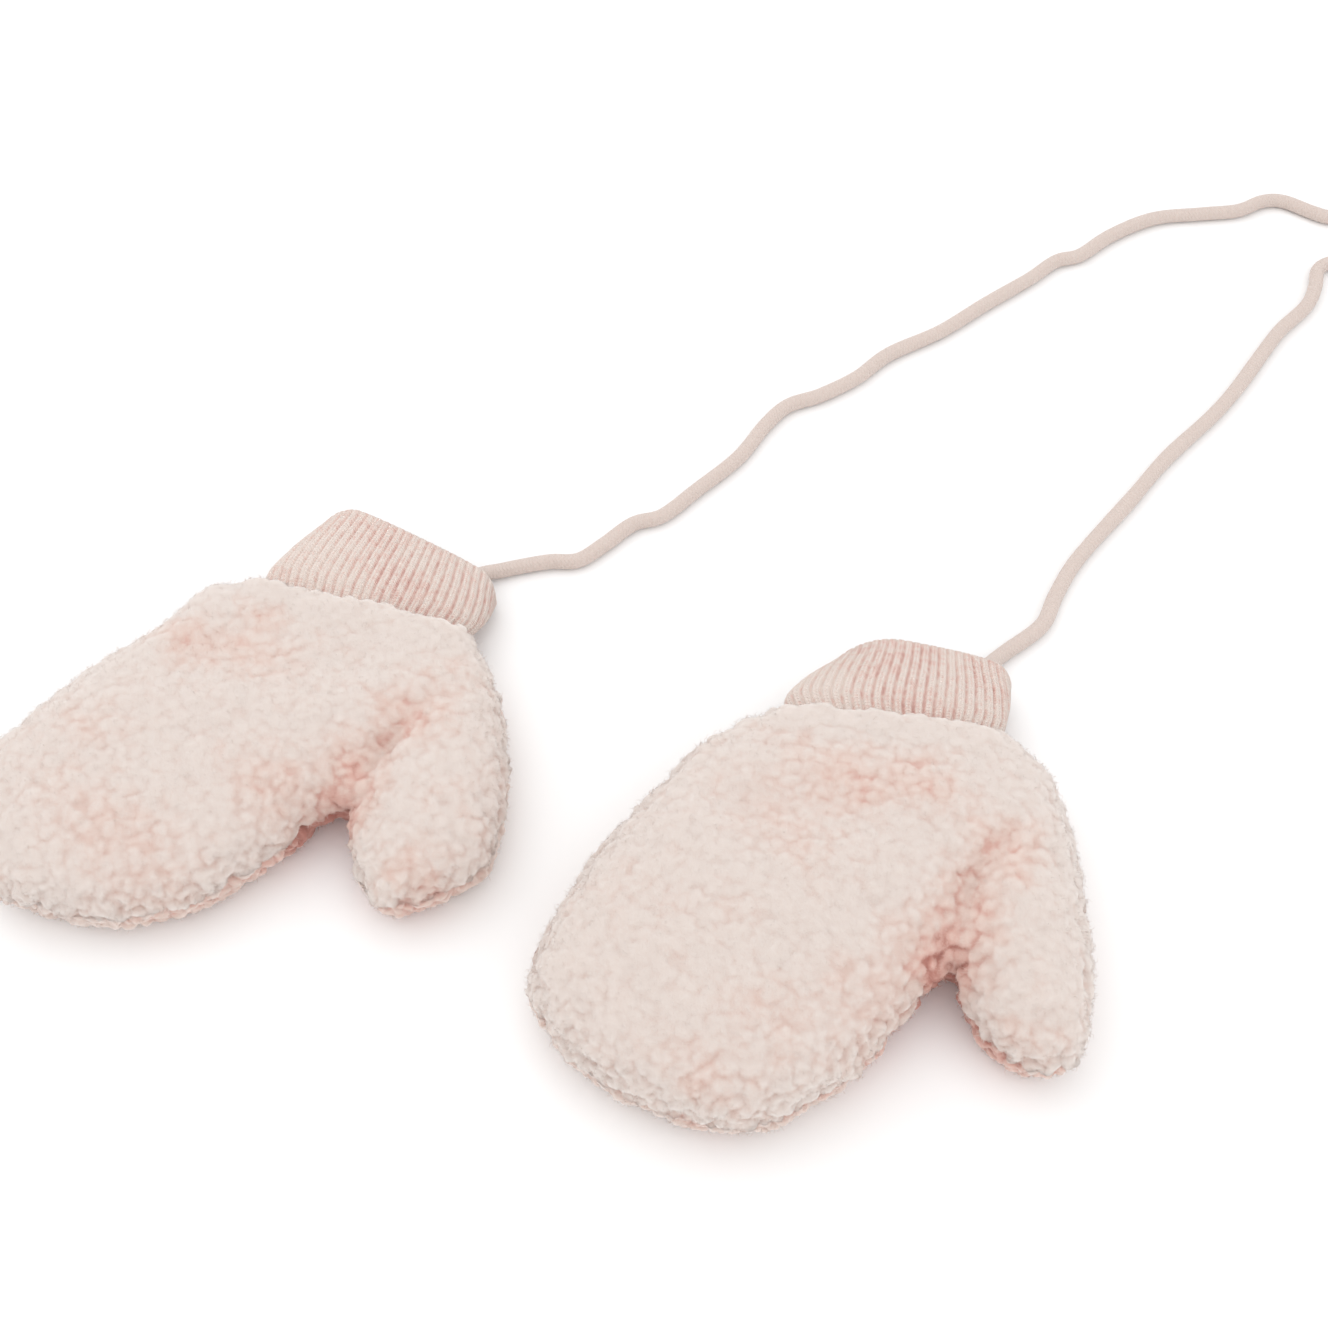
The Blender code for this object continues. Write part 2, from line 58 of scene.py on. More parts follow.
class Side(Enum):
    """Which of the two mittens a piece belongs to."""

    LEFT = "left"
    RIGHT = "right"


class Panel(Enum):
    """The two fleece panels of a mitten."""

    BACK = "back_panel"
    PALM = "palm_panel"


# --------------------------------------------------------------------------- shapes


def smooth_curve(points: Array, step: float) -> Array:
    """Points a step apart along a Catmull-Rom curve.

    Args:
        points: the points that the curve passes through, one a row.
        step: spacing along the curve.

    Returns:
        The evenly spread points, ends included.
    """
    parts = 24
    p = np.asarray(points, float)
    p = np.vstack([2 * p[0] - p[1], p, 2 * p[-1] - p[-2]])
    t = np.linspace(0.0, 1.0, parts, endpoint=False)[:, None]
    fine = [0.5 * (2 * b + (c - a) * t + (2 * a - 5 * b + 4 * c - d) * t ** 2
                   + (3 * b - a - 3 * c + d) * t ** 3)
            for a, b, c, d in zip(p[:-3], p[1:-2], p[2:-1], p[3:])]
    fine = np.vstack(fine + [p[-2][None]])
    run = np.r_[0.0, np.cumsum(np.linalg.norm(np.diff(fine, axis=0), axis=1))]
    at = np.linspace(0.0, run[-1], max(2, int(round(run[-1] / step)) + 1))
    return np.stack([np.interp(at, run, fine[:, k]) for k in range(fine.shape[1])], axis=1)


def eased(t: Array) -> Array:
    """0 to 1 with level ends."""
    t = np.clip(t, 0.0, 1.0)
    return t * t * (3.0 - 2.0 * t)


def rounded_section(width: float, depth: float, power: float, count: int,
                    start: float = 0.0) -> tuple[Array, Array]:
    """Evenly spread points round a flattened tube's section.

    Args:
        width: the section's width.
        depth: its height.
        power: 2 for an ellipse, more for a boxier section.
        count: how many points.
        start: how far round from the right-hand side the first point lies.

    Returns:
        The points and their outward normals, one a row.
    """
    fine = 2881
    t = np.linspace(0.0, 2.0 * math.pi, fine)
    share = 2.0 / power
    x = 0.5 * width * np.sign(np.cos(t)) * np.abs(np.cos(t)) ** share
    z = 0.5 * depth * np.sign(np.sin(t)) * np.abs(np.sin(t)) ** share
    run = np.r_[0.0, np.cumsum(np.hypot(np.diff(x), np.diff(z)))]
    at = (np.linspace(0.0, run[-1], count, endpoint=False) + start) % run[-1]
    section = np.column_stack([np.interp(at, run, x), np.interp(at, run, z)])
    tangent = np.roll(section, -1, axis=0) - np.roll(section, 1, axis=0)
    tangent /= np.linalg.norm(tangent, axis=1)[:, None]
    return section, np.column_stack([tangent[:, 1], -tangent[:, 0]])


def inside_outline(points: Array, outline: Array) -> Array:
    """Tells which points lie inside a closed outline.

    Args:
        points: flat places, one a row.
        outline: the outline's corners in order.

    Returns:
        True for each point inside.
    """
    a, b = outline, np.roll(outline, -1, axis=0)
    y = points[:, 1:2]
    crosses = (a[:, 1] > y) != (b[:, 1] > y)
    rise = np.where(b[:, 1] == a[:, 1], 1.0, b[:, 1] - a[:, 1])
    x = a[:, 0] + (y - a[:, 1]) / rise * (b[:, 0] - a[:, 0])
    return np.count_nonzero(crosses & (x > points[:, :1]), axis=1) % 2 == 1


# --------------------------------------------------------------------------- relief

# Odd numbers that mix a cell's place and seed into an even scatter.
CELL_MIX = (73856093, 19349663, 83492791)
SEED_MIX = 2654435761
ROUND_MIX = (0x85EBCA6B, 0xC2B2AE35, 0x27D4EB2F)


def lattice_noise(cells: Array, seed: int) -> Array:
    """Scatters three numbers from 0 to 1 over each cell, always the same.

    Args:
        cells: whole-number places in space, one a row.
        seed: picks one of many scatters.

    Returns:
        Three numbers for each cell.
    """
    with np.errstate(over="ignore"):
        c = cells.astype(np.int64).astype(np.uint32)
        x, y, z = (c[:, axis] * np.uint32(mix) for axis, mix in enumerate(CELL_MIX))
        h = x ^ y ^ z ^ np.uint32(seed * SEED_MIX & 0xFFFFFFFF)
        found = []
        for mix in ROUND_MIX:
            h = (h ^ (h >> np.uint32(15))) * np.uint32(mix)
            h = h ^ (h >> np.uint32(13))
            found.append(h.astype(float) / 2.0 ** 32)
    return np.stack(found, axis=1)


def tufts(points: Array, size: float, seed: int, sharp: float) -> Array:
    """How high each point lies on soft, uneven, overlapping tufts.

    Args:
        points: places in space, one a row.
        size: usual distance between tufts.
        seed: picks one of many scatters of tufts.
        sharp: how sharp the valleys between them are.

    Returns:
        About 0 in the deepest valleys and 1 on the highest tops.
    """
    narrow, stretch, uneven = 1.5, 0.8, 0.55
    lowest, span, rounding = -0.5, 1.1, 1.25
    grid = points / size
    base = np.floor(grid)
    total = np.zeros(len(points))
    for step in itertools.product((-1, 0, 1), repeat=3):
        cell = base + np.array(step)
        spread, own = lattice_noise(cell, seed), lattice_noise(cell, seed + 61)
        long_way = own - 0.5
        long_way /= np.maximum(np.linalg.norm(long_way, axis=1), 1e-6)[:, None]
        off = cell + spread - grid
        away = narrow * (off ** 2).sum(axis=1) - stretch * (off * long_way).sum(axis=1) ** 2
        total += np.exp(sharp * (uneven * own[:, 0] - away))
    rise = np.clip((np.log(total) / sharp - lowest) / span, 0.0, 1.0)
    return 1.0 - (1.0 - rise) ** rounding


def soft_noise(points: Array, size: float, seed: int) -> Array:
    """Three smooth noises from -1 to 1.

    Args:
        points: places in space, one a row.
        size: about how large their bumps are.
        seed: picks one of many noises.

    Returns:
        Three noises for each point.
    """
    grid = points / size
    base = np.floor(grid)
    part = eased(grid - base)
    total = np.zeros((len(points), 3))
    for step in itertools.product((0, 1), repeat=3):
        corner = np.array(step)
        weight = np.prod(np.where(corner == 1, part, 1.0 - part), axis=1)
        total += weight[:, None] * lattice_noise(base + corner, seed)
    return 2.0 * total - 1.0


# --------------------------------------------------------------------------- meshes


@dataclass
class MeshData:
    """Points, faces and named point values of a mesh that is to be made."""

    points: Array
    faces: Array
    values: dict[str, Array] = field(default_factory=dict)
    normals: Array | None = None

    def joined(self, other: "MeshData") -> "MeshData":
        """This mesh and another as one.

        Args:
            other: a mesh with faces of the same number of corners.

        Returns:
            Both meshes' points and faces.
        """
        values = {k: np.concatenate([v, other.values[k]]) for k, v in self.values.items()}
        return MeshData(np.vstack([self.points, other.points]),
                        np.vstack([self.faces, other.faces + len(self.points)]), values,
                        np.vstack([self.normals, other.normals]))

    def kept(self, faces: Array) -> "MeshData":
        """Only some of the faces, with the points that they use.

        Args:
            faces: which faces to keep.

        Returns:
            The smaller mesh.
        """
        used, where = np.unique(self.faces[faces], return_inverse=True)
        values = {k: v[used] for k, v in self.values.items()}
        return MeshData(self.points[used], where.reshape(-1, self.faces.shape[1]), values,
                        self.normals[used])

    def made(self, name: str) -> bpy.types.Object:
        """Makes the mesh as a smooth object in the scene.

        Args:
            name: the object's name.

        Returns:
            The object.
        """
        mesh = bpy.data.meshes.new(name)
        corners = self.faces.shape[1]
        mesh.vertices.add(len(self.points))
        mesh.vertices.foreach_set("co", self.points.astype(np.float32).ravel())
        mesh.loops.add(self.faces.size)
        mesh.loops.foreach_set("vertex_index", self.faces.astype(np.int32).ravel())
        mesh.polygons.add(len(self.faces))
        starts = np.arange(0, self.faces.size, corners, dtype=np.int32)
        mesh.polygons.foreach_set("loop_start", starts)
        for key, value in self.values.items():
            layer = mesh.attributes.new(key, "FLOAT", "POINT")
            layer.data.foreach_set("value", value.astype(np.float32))
        mesh.update(calc_edges=True)
        mesh.validate()
        mesh.shade_smooth()
        if self.normals is not None:
            mesh.normals_split_custom_set_from_vertices(self.normals.tolist())
        made = bpy.data.objects.new(name, mesh)
        bpy.context.scene.collection.objects.link(made)
        return made


def point_normals(points: Array, faces: Array) -> Array:
    """Unit normals at the points of a mesh, weighted by area.

    Args:
        points: the mesh's points.
        faces: its triangles or quads.

    Returns:
        One normal for each point.
    """
    a, b, c = points[faces[:, 0]], points[faces[:, 1]], points[faces[:, 2]]
    d = points[faces[:, -1]]
    flat = np.cross(c - a, d - b) if faces.shape[1] == 4 else np.cross(b - a, c - a)
    total = np.zeros_like(points)
    for k in range(faces.shape[1]):
        for axis in range(3):
            total[:, axis] += np.bincount(faces[:, k], flat[:, axis], len(points))
    return total / np.maximum(np.linalg.norm(total, axis=1), 1e-12)[:, None]


def unit(vectors: Array) -> Array:
    """The vectors at a length of one."""
    return vectors / np.maximum(np.linalg.norm(vectors, axis=1), 1e-9)[:, None]


def plain_object(name: str, points: Array, faces: list[tuple]) -> bpy.types.Object:
    """Makes an object whose faces differ in their number of corners.

    Args:
        name: the object's name.
        points: its points, one a row.
        faces: the points of each face.

    Returns:
        The object, in the scene.
    """
    mesh = bpy.data.meshes.new(name)
    mesh.from_pydata([tuple(p) for p in points.tolist()], [], faces)
    made = bpy.data.objects.new(name, mesh)
    bpy.context.scene.collection.objects.link(made)
    return made


def flipped(face: tuple) -> tuple:
    """The face turned over, with its first corner still first."""
    return (face[0], *face[:0:-1])


def shell_faces(triangles: Array, rim: int, count: int) -> list[tuple]:
    """Faces of a closed shell between two layers of the same flat triangles.

    Args:
        triangles: one layer's triangles.
        rim: how many of its points, which come first, go round its edge.
        count: how many points it has.

    Returns:
        The upper layer, the lower layer and the quads that join their edges,
        all of them facing outwards.
    """
    outer = [tuple(f) for f in triangles.tolist()]
    inner = [tuple(k + count for k in flipped(f)) for f in outer]
    edge = [(k, k + count, (k + 1) % rim + count, (k + 1) % rim) for k in range(rim)]
    return outer + inner + edge


def evaluated(work: bpy.types.Object) -> MeshData:
    """An object's quads as its modifiers leave them.

    Args:
        work: the object.

    Returns:
        Its points and quads.
    """
    made = work.evaluated_get(bpy.context.evaluated_depsgraph_get()).to_mesh()
    points = np.empty(len(made.vertices) * 3, np.float32)
    made.vertices.foreach_get("co", points)
    corners = np.empty(len(made.loops), np.int32)
    made.loops.foreach_get("vertex_index", corners)
    return MeshData(points.reshape(-1, 3).astype(float), corners.reshape(-1, 4))


# --------------------------------------------------------------------------- finishes


def new_group(name: str, inputs: list[tuple], outputs: list[tuple]) -> bpy.types.NodeTree:
    """An empty shader group with named sockets.

    Args:
        name: the group's name.
        inputs: (name, socket type, value) of each input.
        outputs: (name, socket type) of each output.

    Returns:
        The group, with its input and output nodes.
    """
    group = bpy.data.node_groups.new(name, "ShaderNodeTree")
    for label, kind, value in inputs:
        socket = group.interface.new_socket(label, in_out="INPUT", socket_type=kind)
        if value is not None:
            socket.default_value = value
    for label, kind in outputs:
        group.interface.new_socket(label, in_out="OUTPUT", socket_type=kind)
    group.nodes.new("NodeGroupInput")
    group.nodes.new("NodeGroupOutput")
    return group


def worked_out(tree: bpy.types.NodeTree, operation: str,
               *feeds: float | bpy.types.NodeSocket) -> bpy.types.NodeSocket:
    """Adds a Math node.

    Args:
        tree: the nodes that it joins.
        operation: what it works out.
        feeds: its inputs in order, numbers or other nodes' outputs.

    Returns:
        Its result.
    """
    node = tree.nodes.new("ShaderNodeMath")
    node.operation = operation
    for socket, feed in zip(node.inputs, feeds):
        if isinstance(feed, float):
            socket.default_value = feed
        else:
            tree.links.new(feed, socket)
    return node.outputs[0]


def point_value(tree: bpy.types.NodeTree, name: str) -> bpy.types.NodeSocket:
    """Adds a node that reads a named value of the mesh's points.

    Args:
        tree: the nodes that it joins.
        name: the value's name.

    Returns:
        The value.
    """
    node = tree.nodes.new("ShaderNodeAttribute")
    node.attribute_name = name
    return node.outputs["Fac"]


def fibre_grain() -> bpy.types.NodeTree:
    """Fine uneven fibres.

    Returns:
        A group that gives a mask, and a normal that stands for the relief.
    """
    name = "fibre_grain"
    if name in bpy.data.node_groups:
        return bpy.data.node_groups[name]
    group = new_group(name, [("Scale", "NodeSocketFloat", 1800.0),
                             ("Relief", "NodeSocketFloat", 0.3)],
                      [("Mask", "NodeSocketFloat"), ("Normal", "NodeSocketVector")])
    nodes, link = group.nodes, group.links.new
    source, target = nodes["Group Input"], nodes["Group Output"]
    place = nodes.new("ShaderNodeTexCoord")
    noise = nodes.new("ShaderNodeTexNoise")
    noise.inputs["Detail"].default_value = 4.0
    noise.inputs["Roughness"].default_value = 0.62
    noise.inputs["Distortion"].default_value = 0.8
    bump = nodes.new("ShaderNodeBump")
    bump.inputs["Distance"].default_value = 0.4 * MM
    link(place.outputs["Object"], noise.inputs["Vector"])
    link(source.outputs["Scale"], noise.inputs["Scale"])
    link(noise.outputs["Fac"], bump.inputs["Height"])
    link(source.outputs["Relief"], bump.inputs["Strength"])
    link(noise.outputs["Fac"], target.inputs["Mask"])
    link(bump.outputs["Normal"], target.inputs["Normal"])
    return group


# Painted shade: between which heights in the pile each colour takes over from the deeper, more
# shaded one.
SHADE_STEPS = (("Deep", -0.35, 0.12), ("Middle", 0.12, 0.62), ("Top", 0.5, 1.2))


def depth_tint() -> bpy.types.NodeTree:
    """Painted shade: colour by how deep a place lies in the pile or between the ribs.

    Returns:
        A group that gives the colour.
    """
    name = "depth_tint"
    if name in bpy.data.node_groups:
        return bpy.data.node_groups[name]
    numbers = [("Height", "NodeSocketFloat", 1.0), ("ShadeAndTone", "NodeSocketFloat", 0.0),
               ("Grain", "NodeSocketFloat", 0.5)]
    colours = [(label, "NodeSocketColor", None) for label in ("Pit", "Deep", "Middle", "Top")]
    group = new_group(name, numbers + colours, [("Color", "NodeSocketColor")])
    nodes, link = group.nodes, group.links.new
    source, target = nodes["Group Input"], nodes["Group Output"]
    level = worked_out(group, "SUBTRACT", source.outputs["Height"], source.outputs["ShadeAndTone"])
    level = worked_out(group, "MULTIPLY_ADD", source.outputs["Grain"], 0.5, level)
    shade = source.outputs["Pit"]
    for colour, start, end in SHADE_STEPS:
        share, mix = nodes.new("ShaderNodeMapRange"), nodes.new("ShaderNodeMix")
        share.interpolation_type = "SMOOTHSTEP"
        share.inputs["From Min"].default_value = start
        share.inputs["From Max"].default_value = end
        mix.data_type = "RGBA"
        link(level, share.inputs["Value"])
        link(share.outputs["Result"], mix.inputs["Factor"])
        link(shade, mix.inputs["A"])
        link(source.outputs[colour], mix.inputs["B"])
        shade = mix.outputs["Result"]
    link(shade, target.inputs["Color"])
    return group


def knit_stitches() -> bpy.types.NodeTree:
    """Rows of slanting stitches.

    Returns:
        A group that gives a mask, and a normal that stands for the relief.
    """
    name = "knit_stitches"
    if name in bpy.data.node_groups:
        return bpy.data.node_groups[name]
    numbers = [("Along", "NodeSocketFloat", 0.0), ("Slant", "NodeSocketFloat", 0.0),
               ("Pitch", "NodeSocketFloat", 0.9), ("Relief", "NodeSocketFloat", 0.3)]
    group = new_group(name, numbers + [("Normal", "NodeSocketVector", None)],
                      [("Mask", "NodeSocketFloat"), ("Normal", "NodeSocketVector")])
    nodes, link = group.nodes, group.links.new
    source, target = nodes["Group Input"], nodes["Group Output"]
    place, noise = nodes.new("ShaderNodeTexCoord"), nodes.new("ShaderNodeTexNoise")
    noise.inputs["Scale"].default_value = 500.0
    link(place.outputs["Object"], noise.inputs["Vector"])
    rows = worked_out(group, "DIVIDE", source.outputs["Along"], source.outputs["Pitch"])
    sway = worked_out(group, "MULTIPLY_ADD", noise.outputs["Fac"], 0.7, source.outputs["Slant"])
    turn = worked_out(group, "MULTIPLY", worked_out(group, "ADD", rows, sway), 2.0 * math.pi)
    mask = worked_out(group, "MULTIPLY_ADD", worked_out(group, "COSINE", turn), 0.5, 0.5)
    bump = nodes.new("ShaderNodeBump")
    bump.inputs["Distance"].default_value = 0.3 * MM
    link(mask, bump.inputs["Height"])
    link(source.outputs["Relief"], bump.inputs["Strength"])
    link(source.outputs["Normal"], bump.inputs["Normal"])
    link(mask, target.inputs["Mask"])
    link(bump.outputs["Normal"], target.inputs["Normal"])
    return group


@dataclass(frozen=True)
class YarnFinish:
    """Matt yarn or pile, painted paler on its tops and pinker in its depths as painted shade.

    Colours run from the painted shade of the deepest pits to the lit tops, the glow is
    light that spreads inside the yarn, and a pitch of 0 means no stitches (pitch in mm).
    """

    name: str
    pit: Colour
    deep: Colour
    middle: Colour
    top: Colour
    grain_scale: float
    grain_relief: float
    roughness: float
    sheen: float
    sheen_roughness: float
    glow: float
    glow_reach: float
    stitch_pitch: float = 0.0
    stitch_relief: float = 0.5
    stitch_shade: float = 0.5
    gloss: float = 0.2

    def material(self) -> bpy.types.Material:
        """The finish as a Principled material, made once.

        Returns:
            The material.
        """
        if self.name in bpy.data.materials:
            return bpy.data.materials[self.name]
        material = bpy.data.materials.new(self.name)
        material.use_nodes = True
        tree = material.node_tree
        shader = tree.nodes["Principled BSDF"]
        grain = tree.nodes.new("ShaderNodeGroup")
        grain.node_tree = fibre_grain()
        grain.inputs["Scale"].default_value = self.grain_scale
        grain.inputs["Relief"].default_value = self.grain_relief
        tint = tree.nodes.new("ShaderNodeGroup")
        tint.node_tree = depth_tint()
        for socket, colour in (("Pit", self.pit), ("Deep", self.deep), ("Middle", self.middle),
                               ("Top", self.top)):
            tint.inputs[socket].default_value = (*colour, 1.0)
        # Painted shade: the points' values pick deeper, pinker colours where the pile or knit
        # lies deep.
        tree.links.new(point_value(tree, "height"), tint.inputs["Height"])
        tree.links.new(point_value(tree, "shade_and_tone"), tint.inputs["ShadeAndTone"])
        mask, normal = grain.outputs["Mask"], grain.outputs["Normal"]
        if self.stitch_pitch > 0.0:
            mask, normal = self.stitched(tree, mask, normal)
        tree.links.new(mask, tint.inputs["Grain"])
        tree.links.new(tint.outputs["Color"], shader.inputs["Base Color"])
        tree.links.new(normal, shader.inputs["Normal"])
        for socket, value in (("Roughness", self.roughness), ("Specular IOR Level", self.gloss),
                              ("Sheen Weight", self.sheen),
                              ("Sheen Roughness", self.sheen_roughness),
                              ("Sheen Tint", (*self.top, 1.0)),
                              ("Subsurface Weight", self.glow),
                              ("Subsurface Radius", (1.0, 1.0, 1.0)),
                              ("Subsurface Scale", self.glow_reach)):
            shader.inputs[socket].default_value = value
        return material

    def stitched(self, tree: bpy.types.NodeTree, mask: bpy.types.NodeSocket,
                 normal: bpy.types.NodeSocket) -> tuple:
        """Adds the stitches to the fibres' mask and normal.

        Args:
            tree: the material's nodes.
            mask: the fibres' mask.
            normal: the fibres' normal.

        Returns:
            The mask and the normal with the stitches in them.
        """
        knit = tree.nodes.new("ShaderNodeGroup")
        knit.node_tree = knit_stitches()
        knit.inputs["Pitch"].default_value = self.stitch_pitch
        knit.inputs["Relief"].default_value = self.stitch_relief
        tree.links.new(point_value(tree, "along"), knit.inputs["Along"])
        tree.links.new(point_value(tree, "slant"), knit.inputs["Slant"])
        tree.links.new(normal, knit.inputs["Normal"])
        # The stitch mask paints the stitches' tops paler and the gaps between them deeper: a
        # knit pattern with painted shade between the stitches.
        both = worked_out(tree, "MULTIPLY_ADD", knit.outputs["Mask"], self.stitch_shade, mask)
        return both, knit.outputs["Normal"]


# The pit and deep colours, and in part the middle ones, are painted shade for the depths of the
# pile and the knit.
PILE = YarnFinish(
    "teddy_pile", pit=(0.50, 0.23, 0.19), deep=(0.68, 0.44, 0.38), middle=(0.69, 0.54, 0.48),
    top=(0.70, 0.62, 0.575), grain_scale=1500.0, grain_relief=0.2, roughness=0.95,
    sheen=0.2, sheen_roughness=0.6, glow=0.85, glow_reach=4.0 * MM)
FUZZ = YarnFinish(
    "teddy_fuzz", pit=(0.56, 0.28, 0.23), deep=(0.70, 0.48, 0.42), middle=(0.71, 0.58, 0.52),
    top=(0.72, 0.64, 0.60), grain_scale=2500.0, grain_relief=0.0, roughness=0.95,
    sheen=0.2, sheen_roughness=0.6, glow=0.0, glow_reach=1.0 * MM)
BACKING = YarnFinish(
    "knit_backing", pit=(0.50, 0.27, 0.23), deep=(0.66, 0.43, 0.37), middle=(0.74, 0.58, 0.52),
    top=(0.78, 0.66, 0.60), grain_scale=2600.0, grain_relief=0.5, roughness=0.95,
    sheen=0.1, sheen_roughness=0.6, glow=0.0, glow_reach=1.0 * MM)
RIB_KNIT = YarnFinish(
    "cuff_rib_knit", pit=(0.58, 0.33, 0.29), deep=(0.69, 0.45, 0.40), middle=(0.77, 0.58, 0.52),
    top=(0.80, 0.69, 0.63), grain_scale=1200.0, grain_relief=0.2, roughness=0.9,
    sheen=0.12, sheen_roughness=0.5, glow=0.3, glow_reach=1.5 * MM,
    stitch_pitch=0.9, stitch_relief=0.8, stitch_shade=0.4)
CORD_KNIT = YarnFinish(
    "cord_round_knit", pit=(0.51, 0.32, 0.28), deep=(0.61, 0.445, 0.40),
    middle=(0.675, 0.545, 0.495), top=(0.70, 0.605, 0.555), grain_scale=1400.0,
    grain_relief=0.2, roughness=0.9, sheen=0.1, sheen_roughness=0.5, glow=0.3,
    glow_reach=1.5 * MM, stitch_pitch=1.1, stitch_relief=0.6, stitch_shade=0.3)


@dataclass(frozen=True)
class FloorFinish:
    """A plain pale studio surface."""

    colour: Colour = (0.97, 0.97, 0.97)
    roughness: float = 0.9

    def material(self) -> bpy.types.Material:
        """The finish as a Principled material.

        Returns:
            The material.
        """
        material = bpy.data.materials.new("studio_floor")
        material.use_nodes = True
        shader = material.node_tree.nodes["Principled BSDF"]
        shader.inputs["Base Color"].default_value = (*self.colour, 1.0)
        shader.inputs["Roughness"].default_value = self.roughness
        return material


# --------------------------------------------------------------------------- studio


@dataclass(frozen=True)
class SoftLamp:
    """A square soft light."""

    name: str
    place: tuple[float, float, float]
    power: float
    size: float = 1.6

    def hang(self, aim: tuple[float, float, float]) -> None:
        """Adds the lamp to the scene.

        Args:
            aim: the place that it faces.
        """
        light = bpy.data.lights.new(self.name, "AREA")
        light.size = self.size
        light.energy = self.power
        lamp = bpy.data.objects.new(self.name, light)
        lamp.location = self.place
        way = Vector(aim) - Vector(self.place)
        lamp.rotation_euler = way.to_track_quat("-Z", "Y").to_euler()
        bpy.context.scene.collection.objects.link(lamp)


@dataclass
class Studio:
    """Camera, floor and soft light."""

    aim: tuple[float, float, float] = (0.0349, 0.0427, 0.0)
    distance: float = 0.480
    elevation_deg: float = 55.0
    lens_mm: float = 48.8
    sensor_mm: float = 36.0
    nearest: float = 0.01
    floor_half: float = 6.0
    air_strength: float = 0.85
    lamps: tuple[SoftLamp, ...] = (SoftLamp("key", (-0.28, 0.3, 1.2), 6.0),
                                   SoftLamp("fill", (0.55, -0.7, 1.0), 3.4))

    def camera(self) -> None:
        """The scene's camera, looking along +Y and down."""
        tilt = math.radians(self.elevation_deg)
        lens = bpy.data.cameras.new("camera")
        lens.lens = self.lens_mm
        lens.sensor_width = self.sensor_mm
        lens.clip_start = self.nearest
        camera = bpy.data.objects.new("camera", lens)
        camera.location = (self.aim[0], self.aim[1] - self.distance * math.cos(tilt),
                           self.aim[2] + self.distance * math.sin(tilt))
        camera.rotation_euler = (math.pi / 2.0 - tilt, 0.0, 0.0)
        bpy.context.scene.collection.objects.link(camera)
        bpy.context.scene.camera = camera

    def build(self) -> None:
        """Floor, lights and even surroundings."""
        half = self.floor_half
        corners = np.array([(-half, -half, 0.0), (half, -half, 0.0), (half, half, 0.0),
                            (-half, half, 0.0)])
        floor = MeshData(corners, np.array([[0, 1, 2, 3]])).made("studio_floor")
        floor.data.materials.append(FloorFinish().material())
        for lamp in self.lamps:
            lamp.hang(self.aim)
        world = bpy.data.worlds.new("studio_air")
        world.use_nodes = True
        air = world.node_tree.nodes["Background"]
        air.inputs["Color"].default_value = (1.0, 1.0, 1.0, 1.0)
        air.inputs["Strength"].default_value = self.air_strength
        bpy.context.scene.world = world
        bpy.context.scene.view_settings.view_transform = "Standard"


# --------------------------------------------------------------------------- cord


